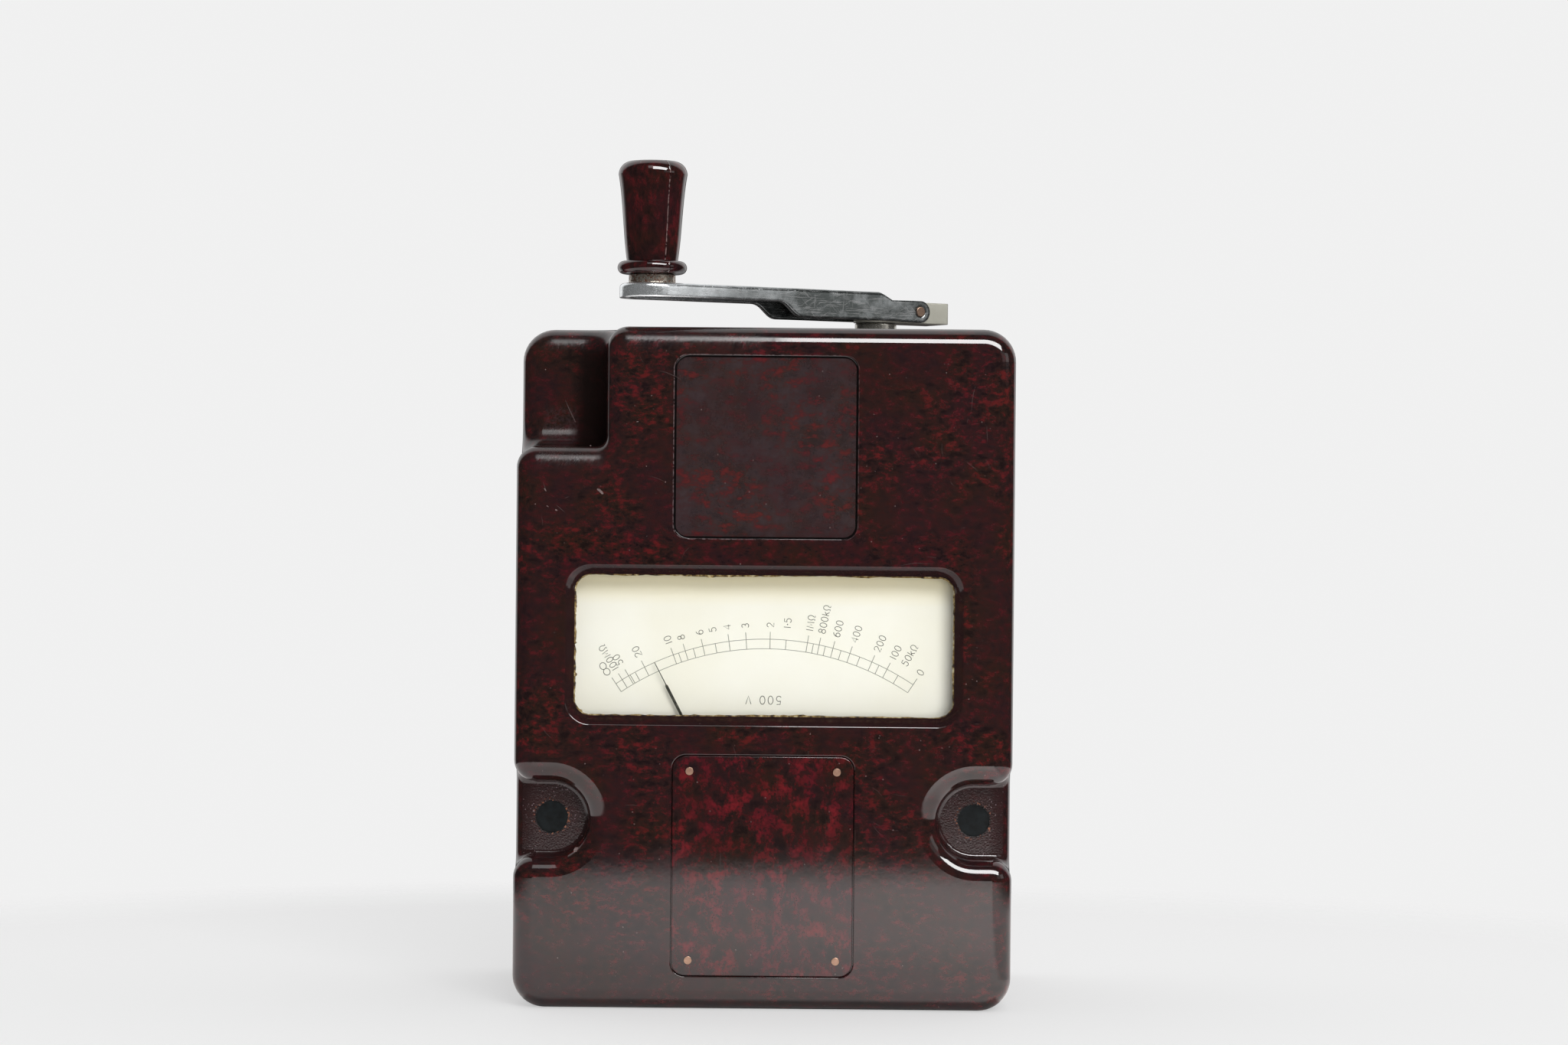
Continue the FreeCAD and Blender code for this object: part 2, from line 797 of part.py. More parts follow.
def rating_plate():
    half_width = rating_plate_width / 2
    half_height = rating_plate_height / 2
    plate = plate_y(-half_width, half_width, front, front + rating_plate_thickness,
                    rating_plate_z - half_height, rating_plate_z + half_height, rating_plate_corner)
    edges = edges_where(plate, lambda p: near(p.y, front))
    plate = plate.makeFillet(0.3, edges)
    return cut(plate, [rod(rivet_radius, spot - Y, Y, rating_plate_thickness + 2) for spot in rivet_spots()])


def rating_rivets():
    rivets = []
    for spot in rivet_spots():
        length = rating_plate_thickness + rivet_grip + rivet_dome
        pin = rod(rivet_radius, spot - Y * rivet_dome, Y, length)
        head = edges_where(pin, lambda p: near(p.y, front - rivet_dome))
        rivets.append(pin.makeFillet(0.9 * rivet_dome, head))
    return rivets


def case_screws():
    """The two long screws under the seals of the side recesses."""
    seat = seal_sink + seal_thickness + case_screw_head_height
    length = parting - recess_floor - seat + base_depth - case_wall
    return both_sides(lambda sign: screw(case_screw_line(sign) + Y * seat, Y, length, case_screw_radius,
                                         case_screw_head_radius, case_screw_head_height))


def screw_seals():
    """Discs of black compound poured over the heads of the long screws."""
    return both_sides(lambda sign: rod(seal_radius, case_screw_line(sign) + Y * seal_sink, Y, seal_thickness))


def rear_screws():
    seat = case_screw_head_height + rear_screw_sink
    length = base_depth - seat + rear_screw_length
    return [screw(spot - Y * seat, -Y, length, case_screw_radius, case_screw_head_radius,
                  case_screw_head_height) for spot in rear_screw_spots()]


def rubber_feet():
    feet = []
    for spot in foot_spots():
        foot = rod(foot_radius, spot - Y * foot_socket, Y, foot_socket + foot_height)
        foot = foot.makeFillet(foot_edge_round, edges_where(foot, lambda p: near(p.y, back + foot_height)))
        seat = spot + Y * (foot_height - foot_screw_sink)
        feet.append(cut(foot, [rod(foot_screw_radius, spot - Y * (foot_socket + over), Y, 2 * foot_height),
                               rod(foot_screw_head_radius + foot_head_gap, seat, Y, foot_height)]))
    return feet


def foot_screws():
    seat = foot_height - foot_screw_sink
    length = seat + foot_socket + foot_screw_bite
    return [screw(spot + Y * seat, -Y, length, foot_screw_radius, foot_screw_head_radius,
                  foot_screw_head_radius / 2) for spot in foot_spots()]


# Meter movement

def meter_point(y, radius=0.0, angle=0.0):
    """A point at a radius and angle from the pointer's axis. The angle goes from up towards +X."""
    turn = math.radians(angle)
    return Vector(meter_x + radius * math.sin(turn), y, meter_z + radius * math.cos(turn))


def meter_block(x0, x1, y0, y1, z0, z1):
    return block(meter_x + x0, meter_x + x1, y0, y1, meter_z + z0, meter_z + z1)


def at_rest(solid):
    """Turn a moving meter piece from mid-scale to where the pointer rests."""
    turned = solid.copy()
    turned.rotate(meter_point(0), Y, pointer_rest_angle)
    return turned


def meter_poles():
    """Two soft iron pole pieces between the magnets, bored for the moving coils."""
    half = meter_pole_height / 2
    bore = rod(pole_bore, meter_point(meter_pole_y0 - 1), Y, meter_pole_y1 - meter_pole_y0 + 2)
    poles = []
    for sign in (1, -1):
        ends = sorted((sign * pole_opening / 2, sign * magnet_inner_x - meter_x))
        tools = [bore]
        for spot in meter_screw_spots():
            tools.append(rod(meter_screw_radius, spot + Y * (meter_pole_y0 - over), Y,
                             meter_pole_y1 - meter_pole_y0 + 2 * over))
        tools.append(rod(magnet_screw_radius, magnet_screw_spots(sign)[0], X * -sign,
                         magnet_thickness + magnet_screw_bite + hole_end_gap))
        tools.append(rod(bridge_leg_spigot, meter_point(meter_pole_y0 - over, sign * bridge_leg_x, 90), Y,
                         bridge_leg_bite + over))
        solid = meter_block(ends[0], ends[1], meter_pole_y0, meter_pole_y1, -half, half)
        poles.append(cut(solid, tools))
    return poles


def meter_core():
    """The slotted iron ring that the coils turn about, with the foot that holds it to the rear bridge."""
    ring = tube(core_radius, core_hole, meter_point(core_y0), Y, core_length)
    slot = meter_block(-core_slot / 2, core_slot / 2, core_y0 - over, core_y1 + over, -core_radius - over, 0)
    foot_z = over - core_radius
    foot = meter_block(-core_foot_width / 2, core_foot_width / 2, core_y1 - core_foot_length, meter_pole_y1,
                       foot_z, foot_z + core_foot_height)
    return join([ring.cut(slot), foot])


def rear_bridge():
    half = meter_pole_height / 2 - over
    half_width = magnet_inner_x - 2 * over
    plate = meter_block(-half_width, half_width, meter_pole_y1, meter_pole_y1 + bridge_thickness, -half, half)
    start = meter_pole_y1 - over
    tools = [rod(jewel_radius, meter_point(start), Y, bridge_thickness + 2 * over)]
    for spot in meter_screw_spots():
        tools.append(rod(meter_screw_radius, spot + Y * start, Y, bridge_thickness + 2 * over))
    return cut(plate, tools)


def front_bridge():
    """A strap in front of the pointer on two legs from the pole pieces."""
    half_width = bridge_leg_x + bridge_leg_radius
    strap = meter_block(-half_width, half_width, front_bridge_y, front_bridge_y + bridge_thickness,
                        -bridge_height / 2, bridge_height / 2)
    strap = round_along(strap, Y, 0.48 * bridge_height)
    legs = []
    for sign in (1, -1):
        foot = meter_point(front_bridge_y, sign * bridge_leg_x, 90)
        legs.append(rod(bridge_leg_radius, foot, Y, meter_pole_y0 - front_bridge_y))
        legs.append(rod(bridge_leg_spigot, foot, Y, meter_pole_y0 + bridge_leg_bite - front_bridge_y))
    strap = join([strap] + legs)
    return strap.cut(rod(jewel_radius, meter_point(front_bridge_y - over), Y, bridge_thickness + 2 * over))


def jewel_screw(outer_face, direction):
    """A slotted screw through a bridge. Its head stands out of the bridge's outer face."""
    length = bridge_thickness + jewel_stand_out + 0.2
    body = rod(jewel_radius, Vector(0, 0, -jewel_stand_out), Z, length)
    slot = block(-jewel_radius, jewel_radius, -jewel_radius / 5, jewel_radius / 5, -jewel_stand_out,
                 -jewel_stand_out / 2)
    return place(body.cut(slot), meter_point(outer_face), direction)


def jewel_screws():
    """Screws that hold the jewels, one in each bridge."""
    return [jewel_screw(front_bridge_y, Y), jewel_screw(meter_pole_y1 + bridge_thickness, -Y)]


def meter_screws():
    """Long screws through the rear bridge and the pole pieces into the front moulding."""
    seat = meter_pole_y1 + bridge_thickness
    length = seat - meter_pole_y0 + meter_screw_bite
    return [screw(spot + Y * seat, -Y, length, meter_screw_radius, meter_screw_head_radius, meter_screw_head)
            for spot in meter_screw_spots()]


def coil(r0, r1):
    """A flat rectangular winding about the core, from one radius to another across the axis."""
    outer = meter_block(-coil_width / 2, coil_width / 2, coil_y0, coil_y1, r0, r1)
    inner = meter_block(-coil_width, coil_width, coil_y0 + coil_thickness, coil_y1 - coil_thickness,
                        r0 + coil_thickness, r1 - coil_thickness)
    return outer.cut(inner)


def spindle_bore():
    return rod(spindle_radius, meter_point(front), Y, case_depth)


def moving_coils():
    """The deflecting coil round the whole core and the control coil round one side of the ring."""
    deflecting = coil(-coil_outer, coil_outer)
    deflecting.rotate(meter_point(0), Y, 90)
    control = coil(coil_width / 2, coil_outer)
    return [at_rest(deflecting.cut(spindle_bore())), at_rest(control)]


def pointer_spindle():
    start = front_bridge_y + bridge_thickness + 0.2 + pivot_gap
    end = meter_pole_y1 - 0.2 - pivot_gap
    return at_rest(rod(spindle_radius, meter_point(start), Y, end - start))


def pointer():
    """The pointer: hub, stem with a slight set, lance and fine tip, and a tail for its balance nut."""
    half = pointer_thickness / 2
    lance_set = pointer_bend * (scale_radius - lance_radius) / (scale_radius - pointer_bend_radius)
    shoulder = lance_radius + lance_half_width
    stations = [(0.0, 0.0, stem_half_width), (pointer_bend, pointer_bend_radius, lance_half_width),
                (lance_set, lance_radius, lance_half_width), (lance_set, shoulder, 1.4 * tip_half_width),
                (0.0, scale_radius, tip_half_width)]
    outline = [(x - width, z) for x, z, width in stations]
    outline += [(x + width, z) for x, z, width in reversed(stations)]
    points = [Vector(meter_x + x, pointer_y - half, meter_z + z) for x, z in outline]
    blade = polygon_prism(points, Y * pointer_thickness)
    hub = rod(pointer_hub_radius, meter_point(pointer_y - pointer_hub_height / 2), Y, pointer_hub_height)
    tail = rod(tail_radius, meter_point(pointer_y), -Z, tail_length)
    return at_rest(join([hub, blade, tail]).cut(spindle_bore()))


def balance_weights():
    """The tail nut and the weight opposite the control coil."""
    nut = tube(tail_nut_radius, tail_radius, meter_point(pointer_y, tail_radius - tail_length), Z, tail_nut_length)
    y0 = pointer_y + weight_end_gap
    y1 = coil_y0 - weight_end_gap
    half = weight_arm_width / 2
    collar = rod(weight_collar_radius, meter_point(y0), Y, weight_arm_height)
    arm = meter_block(-half, half, y0, y0 + weight_arm_height, -weight_drop, 0.0)
    weight = rod(weight_radius, meter_point(y0, -weight_drop), Y, y1 - y0)
    return [at_rest(nut), at_rest(join([collar, arm, weight]).cut(spindle_bore()))]


# Magnets and generator

def bar_magnets():
    """Two long bar magnets that feed the generator at the top and the meter at the bottom."""
    bars = []
    for sign in (1, -1):
        ends = sorted((sign * magnet_inner_x, sign * magnet_outer_x))
        bar = block(ends[0], ends[1], magnet_y0, magnet_y1, magnet_bottom, magnet_top)
        tools = [rod(magnet_screw_radius, spot, X * -sign, magnet_thickness + over)
                 for spot in magnet_screw_spots(sign)]
        tools.append(rod(board_pillar_spigot, board_pillar_foot(sign) + Y * over, -Y,
                         board_pillar_bite + hole_end_gap + over))
        bars.append(cut(bar, tools))
    return bars


def magnet_screw_spots(sign):
    start_x = sign * magnet_outer_x
    return [Vector(start_x, (magnet_y0 + meter_pole_y1) / 2, meter_z),
            Vector(start_x, generator_y, (core_top + core_bottom) / 2)]


def magnet_screws():
    screws = []
    for sign in (1, -1):
        for spot in magnet_screw_spots(sign):
            screws.append(screw(spot, X * -sign, magnet_thickness + magnet_screw_bite, magnet_screw_radius,
                                magnet_screw_head_radius, magnet_screw_head))
    return screws


def generator_centre(z):
    return Vector(0, generator_y, z)


def pole_screw_spots():
    return [Vector(sx * pole_screw_x, generator_y + sy * pole_screw_y, 0) for sx in (1, -1) for sy in (1, -1)]


def generator_poles():
    """Two iron pole pieces bored for the armature."""
    height = plate_low - generator_pole_bottom
    bore = rod(armature_radius + armature_gap, generator_centre(generator_pole_bottom - 1), Z, height + 2)
    poles = []
    for sign in (1, -1):
        ends = sorted((sign * pole_opening / 2, sign * magnet_inner_x))
        solid = block(ends[0], ends[1], generator_y - pole_width / 2, generator_y + pole_width / 2,
                      generator_pole_bottom, plate_low)
        tools = [bore]
        for spot in pole_screw_spots():
            tools.append(rod(pole_screw_radius, spot + Z * (plate_low + over), -Z,
                             pole_screw_bite + hole_end_gap + over))
            tools.append(rod(pole_screw_radius, spot + Z * (generator_pole_bottom - over), Z,
                             bracket_pillar_bite + over))
        tools.append(rod(magnet_screw_radius, magnet_screw_spots(sign)[1], X * -sign,
                         magnet_thickness + magnet_screw_bite + hole_end_gap))
        poles.append(cut(solid, tools))
    return poles


def generator_bracket():
    """The lower bearing plate, hung from the pole pieces on four pillars."""
    half = pole_width / 2 + bracket_overhang
    half_width = magnet_inner_x - over
    y0 = generator_y - half
    y1 = generator_y + half
    plate = round_along(block(-half_width, half_width, y0, y1, bracket_bottom, bracket_top), Z,
                        2 * bracket_overhang)
    start = bracket_bottom - over
    tools = [rod(pole_screw_radius, spot + Z * start, Z, plate_thickness + 2 * over)
             for spot in pole_screw_spots()]
    tools.append(rod(bearing_radius, generator_centre(start), Z, plate_thickness + 2 * over))
    return cut(plate, tools)


def bracket_pillars():
    pillars = []
    for spot in pole_screw_spots():
        body = rod(bracket_pillar_radius, spot + Z * bracket_top, Z, generator_pole_bottom - bracket_top)
        spigot = rod(pole_screw_radius, spot + Z * bracket_bottom, Z,
                     generator_pole_bottom + bracket_pillar_bite - bracket_bottom)
        pillars.append(join([body, spigot]))
    return pillars


def armature_shaft():
    start = bracket_bottom - 2 * bearing_stand_out
    end = wheel_level + gear_width + 2 * bearing_stand_out
    return rod(armature_shaft_radius, generator_centre(start), Z, end - start)


def slot_bars(inner, outer, width, z0, z1):
    bars = []
    for step in range(armature_slots):
        bar = block(inner, outer, -width / 2, width / 2, z0, z1)
        bar.rotate(Vector(0, 0, 0), Z, step * 360 / armature_slots)
        bar.translate(Y * generator_y)
        bars.append(bar)
    return bars


def armature_core():
    """The stack of armature stampings, slotted for the winding."""
    core = tube(armature_radius, armature_shaft_radius, generator_centre(core_bottom), Z, armature_length)
    floor = armature_radius - slot_depth
    return cut(core, slot_bars(floor, armature_radius + 1, slot_width, core_bottom - 1, core_top + 1))


def armature_winding():
    """The armature coils: a bar in each slot and the end turns above and below the stack."""
    floor = armature_radius - slot_depth
    outer = armature_radius - 0.8
    bars = slot_bars(floor, outer, slot_width, core_bottom - 1, core_top + 1)
    inner = armature_shaft_radius + 3.0
    low = tube(outer, inner, generator_centre(core_bottom - end_winding), Z, end_winding)
    high = tube(outer, inner, generator_centre(core_top), Z, end_winding)
    return join([low, high] + bars)


def commutator():
    body = tube(commutator_radius, armature_shaft_radius, generator_centre(commutator_bottom), Z,
                commutator_length)
    return cut(body, slot_bars(commutator_radius - 1.0, commutator_radius + 1, 0.6, commutator_bottom - 1,
                               commutator_top + 1))


def armature_bearings():
    bore = armature_shaft_radius + running_gap
    length = plate_thickness + 2 * bearing_stand_out
    return [tube(bearing_radius, bore, generator_centre(level - bearing_stand_out), Z, length)
            for level in (bracket_bottom, plate_low)]


def brush_level():
    return (commutator_top + commutator_bottom) / 2


def brush_run(sign, x0, x1, half_width, half_height):
    """A square bar along a brush's line, between two distances from the commutator's axis."""
    ends = sorted((generator_y + sign * x0, generator_y + sign * x1))
    level = brush_level()
    return block(-half_width, half_width, ends[0], ends[1], level - half_height, level + half_height)


def brush_holders():
    """Insulating blocks on the bearing plate, each with a square way for its brush."""
    holders = []
    for sign in (1, -1):
        half = brush_size / 2 + brush_wall
        start = commutator_radius + 1.0
        end = start + 2 * brush_length - 1.0
        body = brush_run(sign, start, end, half, half)
        foot_ends = sorted((generator_y + sign * (start + 1.0), generator_y + sign * end))
        foot = block(-half, half, foot_ends[0], foot_ends[1], bracket_top, brush_level())
        way = brush_run(sign, start - 1.0, end - 1.5, brush_size / 2, brush_size / 2)
        holders.append(join([body, foot]).cut(way))
    return holders


def carbon_brushes():
    start = commutator_radius + brush_travel_gap
    half = brush_size / 2
    return both_sides(lambda sign: brush_run(sign, start, start + brush_length, half, half))


def brush_springs():
    """The springs behind the brushes, drawn as plain sleeves of the coil's size."""
    start = commutator_radius + brush_travel_gap + brush_length
    end = commutator_radius + 2 * brush_length - 1.5
    return both_sides(lambda sign: tube(1.6, 1.0, Vector(0, generator_y + sign * start, brush_level()),
                                        Y * sign, end - start))


# Gear train

def tooth_half_angle(radius, pitch, base):
    """Half the angle that a tooth spans at a radius."""
    def roll(cosine):
        angle = math.acos(min(1.0, cosine))
        return math.tan(angle) - angle
    at_pitch = (math.pi * gear_module / 2 - tooth_thinning) / (2 * pitch)
    return at_pitch + roll(base / pitch) - roll(base / radius)


def gear(teeth, centre, z0, width, tooth_angle):
    """A spur gear with involute flanks and a tooth centred on the given angle."""
    pitch = teeth * gear_module / 2
    base = pitch * math.cos(math.radians(pressure_angle))
    tip = pitch + tooth_rise
    root = pitch - tooth_fall
    start = max(base, root) + 0.001
    radii = [start + (tip - start) * step / 4 for step in range(5)]

    def point(radius, angle):
        return Vector(centre.x + radius * math.cos(angle), centre.y + radius * math.sin(angle), z0)

    edges = []
    pitch_angle = 2 * math.pi / teeth
    for index in range(teeth):
        middle = math.radians(tooth_angle) + index * pitch_angle
        rising = [point(r, middle - tooth_half_angle(r, pitch, base)) for r in radii]
        falling = [point(r, middle + tooth_half_angle(r, pitch, base)) for r in reversed(radii)]
        foot = tooth_half_angle(start, pitch, base)
        root_in = point(root, middle - foot)
        root_out = point(root, middle + foot)
        next_in = point(root, middle + pitch_angle - foot)
        if root < base:
            edges.append(Part.makeLine(root_in, rising[0]))
        else:
            rising[0] = root_in
            falling[-1] = root_out
        for flank in (rising, falling):
            curve = Part.BSplineCurve()
            curve.interpolate(flank)
            edges.append(curve.toShape())
        edges.insert(-1, Part.Arc(rising[-1], point(tip, middle), falling[0]).toShape())
        if root < base:
            edges.append(Part.makeLine(falling[-1], root_out))
        edges.append(Part.Arc(root_out, point(root, middle + pitch_angle / 2), next_in).toShape())
    face = Part.Face(Part.Wire(edges))
    return face.extrude(Z * width)


def crank_centre(z):
    return Vector(crank_x, crank_y, z)


def wheel_centre(z):
    return Vector(wheel_x, wheel_y, z)


def heading(start, end):
    return math.degrees(math.atan2(end.y - start.y, end.x - start.x))


def half_tooth(teeth):
    return 180 / teeth


def main_gear():
    """The big gear on the crank shaft, lightened by five holes."""
    towards = heading(crank_centre(0), wheel_centre(0))
    blank = gear(main_teeth, crank_centre(main_level), main_level, gear_width, towards)
    hub = rod(shaft_radius + gear_hub_wall, crank_centre(main_level - gear_hub_length), Z, gear_hub_length)
    tools = [rod(shaft_radius, crank_centre(main_level - gear_hub_length - over), Z,
                 gear_hub_length + gear_width + 2 * over)]
    ring = (main_pitch + shaft_radius) / 2 + over
    for step in range(5):
        angle = math.radians(step * 72 + 20)
        spot = crank_centre(main_level - over) + Vector(ring * math.cos(angle), ring * math.sin(angle), 0)
        tools.append(rod(0.2 * main_pitch, spot, Z, gear_width + 2 * over))
    return cut(join([blank, hub]), tools)


def intermediate_gear():
    """The wheel and pinion cut in one piece on the intermediate arbor."""
    to_crank = heading(wheel_centre(0), crank_centre(0)) + half_tooth(pinion_teeth)
    to_armature = heading(wheel_centre(0), generator_centre(0))
    wheel = gear(wheel_teeth, wheel_centre(0), wheel_level, gear_width, to_armature)
    pinion_base = wheel_level + gear_width
    length = main_level + gear_width + over - pinion_base
    pinion = gear(pinion_teeth, wheel_centre(0), pinion_base, length, to_crank)
    bore = rod(arbor_radius, wheel_centre(wheel_level - over), Z, length + gear_width + 2 * over)
    return cut(join([wheel, pinion]), [bore])


def armature_pinion():
    to_wheel = heading(generator_centre(0), wheel_centre(0)) + half_tooth(pinion_teeth)
    start = wheel_level - over / 2
    pinion = gear(pinion_teeth, generator_centre(0), start, gear_width + over, to_wheel)
    return pinion.cut(rod(armature_shaft_radius, generator_centre(start - over), Z, gear_width + 3 * over))


def intermediate_arbor():
    body = rod(arbor_radius, wheel_centre(low_plate_top + end_play), Z, plate_spacing - 2 * end_play)
    journals = rod(arbor_journal, wheel_centre(plate_low), Z, 2 * plate_thickness + plate_spacing)
    return join([body, journals])


def pillar_spots():
    clear = tooth_rise + pillar_radius + pillar_gear_gap
    spots = []
    for centre, pitch, angle in ((crank_centre(0), main_pitch, 64.0), (crank_centre(0), main_pitch, 214.0),
                                 (wheel_centre(0), wheel_pitch, 160.0)):
        turn = math.radians(angle)
        spots.append(centre + Vector(math.cos(turn), math.sin(turn), 0) * (pitch + clear))
    left_screws = plate_screw_spots()[:2]
    spots.append((left_screws[0] + left_screws[1]) * 0.5)
    return spots


def gear_plate(z0, holes):
    """A bearing plate of the gear train, with its holes given as (point, radius)."""
    corners = plate_screw_spots() + pillar_spots()
    x0 = min(spot.x for spot in corners) - plate_edge
    x1 = max(spot.x for spot in corners) + plate_edge
    y0 = min(spot.y for spot in corners) - plate_edge + over
    y1 = max(spot.y for spot in corners) + plate_edge - over
    plate = round_along(block(x0, x1, y0, y1, z0, z0 + plate_thickness), Z, plate_edge - over)
    holes = holes + [(spot, pillar_spigot) for spot in pillar_spots()]
    start = Z * (z0 - over)
    tools = [rod(radius, point + start, Z, plate_thickness + 2 * over) for point, radius in holes]
    return cut(plate, tools)


def upper_gear_plate():
    holes = [(crank_centre(0), shaft_radius + running_gap), (wheel_centre(0), arbor_journal + running_gap)]
    holes += [(spot, plate_screw_radius) for spot in plate_screw_spots()]
    return gear_plate(high_plate_bottom, holes)


def lower_gear_plate():
    holes = [(crank_centre(0), shaft_journal + running_gap), (wheel_centre(0), arbor_journal + running_gap)]
    holes.append((generator_centre(0), bearing_radius))
    holes += [(spot, pole_screw_radius) for spot in pole_screw_spots()]
    return gear_plate(plate_low, holes)


def plate_pillars():
    pillars = []
    for spot in pillar_spots():
        body = rod(pillar_radius, spot + Z * low_plate_top, Z, plate_spacing)
        spigot = rod(pillar_spigot, spot + Z * plate_low, Z, 2 * plate_thickness + plate_spacing)
        pillars.append(join([body, spigot]))
    return pillars


def plate_screws():
    """Screws that hold the upper plate to the case and the lower plate to the pole pieces."""
    length = plate_thickness + plate_top_gap + plate_screw_bite
    screws = [screw(spot + Z * high_plate_bottom, Z, length, plate_screw_radius, plate_screw_head_radius,
                    plate_screw_head) for spot in plate_screw_spots()]
    for spot in pole_screw_spots():
        screws.append(screw(spot + Z * low_plate_top, -Z, plate_thickness + pole_screw_bite,
                            pole_screw_radius, plate_screw_head_radius, plate_screw_head))
    return screws


# Crank

def crank_place(solid):
    """Carry a piece drawn with the arm along +X from the shaft to its place and angle."""
    placed = solid.copy()
    placed.rotate(Vector(0, 0, 0), Z, 180 + crank_angle)
    placed.translate(Vector(crank_x, crank_y, 0))
    return placed


def crank_bush():
    """The flanged bearing in the end wall, which also carries the weight of the crank."""
    start = inner_top - bush_flange
    body = rod(bush_radius, crank_centre(start), Z, top + bush_rise - start)
    flange = rod(bush_flange_radius, crank_centre(start), Z, bush_flange)
    solid = join([body, flange])
    rim = edges_where(solid, lambda p: near(p.z, top + bush_rise))
    solid = solid.makeFillet(0.4, rim)
    return solid.cut(rod(shaft_radius + running_gap, crank_centre(start - 1), Z, top))


def crank_shaft():
    shoulder = low_plate_top + end_play
    body = rod(shaft_radius, crank_centre(shoulder), Z, hub_top - shoulder)
    journal = rod(shaft_journal, crank_centre(plate_low), Z, shoulder - plate_low)
    return join([body, journal])


def hub_block():
    """The block on the end of the shaft that carries the hinge pin behind it."""
    body = block(-hub_tail, 0, -hub_half_width, hub_half_width, hub_bottom, hub_top)
    nose = rod(hub_half_width, Vector(hub_nose - hub_half_width, 0, hub_bottom), Z, hub_height)
    filler = block(0, hub_nose - hub_half_width, -hub_half_width, hub_half_width, hub_bottom, hub_top)
    pad = rod(hub_half_width - 1.0, Vector(0, 0, hub_top), Z, stop_pad)
    tail = edges_where(body, lambda p: near(p.x, -hub_tail))
    body = body.makeFillet(0.5, tail)
    solid = join([body, filler, nose, pad])
    pin = rod(hinge_pin_radius + running_gap, Vector(-hinge_offset, -hub_half_width - 1, hinge_z), Y,
              2 * hub_half_width + 2)
    bore = rod(shaft_radius, Vector(0, 0, hub_bottom - 1), Z, hub_height + 1)
    return crank_place(cut(solid, [pin, bore]))


def arm_plan(inset, z0, z1):
    """The arm's outline from above, drawn in by the inset, between two heights."""
    hub_half = arm_hub_half_width - inset
    grip_half = arm_grip_half_width - inset
    slope = math.asin((arm_grip_half_width - arm_hub_half_width) / crank_throw)
    start = Vector(-hinge_offset - 2 * arm_ear_radius, hub_half, z0)
    shoulder = Vector(0, hub_half, z0)
    far = Vector(crank_throw - grip_half * math.sin(slope), grip_half * math.cos(slope), z0)

    def mirrored(point):
        return Vector(point.x, -point.y, point.z)

    sides = Part.makePolygon([far, shoulder, start, mirrored(start), mirrored(shoulder), mirrored(far)])
    end = Part.Arc(mirrored(far), Vector(crank_throw + grip_half, 0, z0), far).toShape()
    return Part.Face(Part.Wire(sides.Edges + [end])).extrude(Z * (z1 - z0))


def arm_side():
    """The arm seen from the side, as wide as the arm: deep at the hub, shallow towards the grip."""
    deep = web_top - arm_deep
    shallow = web_top - arm_shallow
    far = crank_throw + arm_grip_half_width + 1
    width = -2 * arm_grip_half_width - 2
    y = arm_grip_half_width + 1
    middle = (arm_deep_end + arm_shallow_start) / 2
    ear_top = top + arm_ear_top

    def at(x, z):
        return Vector(x, y, z)

    curve = Part.BSplineCurve()
    stations = [at(arm_deep_end, deep), at(middle, (deep + shallow) / 2), at(arm_shallow_start, shallow)]
    curve.interpolate(stations,
                      Tangents=[Vector(1, 0, 0), Vector(1, 0, 0.9), Vector(1, 0, 0)],
                      TangentFlags=[True, True, True])
    rear = -hinge_offset
    ear = Part.Arc(at(rear, hinge_z + arm_ear_radius), at(rear - arm_ear_radius, hinge_z),
                   at(rear, hinge_z - arm_ear_radius)).toShape()
    edges = [Part.makeLine(at(far, shallow), at(far, web_top)),
             Part.makeLine(at(far, web_top), at(arm_web_end, web_top)),
             Part.makeLine(at(arm_web_end, web_top), at(arm_web_end - 4.5, ear_top)),
             Part.makeLine(at(arm_web_end - 4.5, ear_top), at(rear, hinge_z + arm_ear_radius)),
             ear,
             Part.makeLine(at(rear, hinge_z - arm_ear_radius), at(0, deep)),
             Part.makeLine(at(0, deep), at(arm_deep_end, deep)),
             curve.toShape(),
             Part.makeLine(at(arm_shallow_start, shallow), at(far, shallow))]
    return Part.Face(Part.Wire(edges)).extrude(Y * width)


def crank_arm():
    """The pressed steel arm: a channel open underneath, whose two ears run back to the hinge."""
    outside = arm_plan(0, hinge_z - 6.0, web_top)
    rim = edges_where(outside, lambda p: near(p.z, web_top) and p.x > -hinge_offset)
    outside = outside.makeFillet(1.2, rim).common(arm_side())
    hollow = arm_plan(arm_sheet, hinge_z - 8.0, web_under)
    between_ears = block(-hinge_offset - 9.0, arm_web_end, -arm_hub_half_width + arm_sheet,
                         arm_hub_half_width - arm_sheet, hinge_z - 8.0, web_top + 1)
    pin = rod(hinge_pin_radius, Vector(-hinge_offset, -20, hinge_z), Y, 40)
    spindle = rod(grip_spindle_radius, Vector(crank_throw, 0, web_under - 1), Z, arm_sheet + 2)
    return crank_place(cut(outside, [hollow, between_ears, pin, spindle]))


def hinge_pin():
    """The pin across the hub block, riveted over outside the arm's ears."""
    reach = arm_hub_half_width + 0.3
    pin = rod(hinge_pin_radius, Vector(-hinge_offset, -reach, hinge_z), Y, 2 * reach)
    ends = edges_where(pin, lambda p: near(abs(p.y), reach))
    return crank_place(pin.makeFillet(0.25, ends))


def grip_spindle():
    """The steel spindle riveted into the arm, on which the grip turns."""
    end = grip_bottom + grip_height - grip_bore_end
    head = rod(grip_spindle_radius + 1.6, Vector(crank_throw, 0, web_under - 1.4), Z, 1.4)
    stem = rod(grip_spindle_radius, Vector(crank_throw, 0, web_under - 1.4), Z, end - web_under + 1.4)
    return crank_place(join([head, stem]))


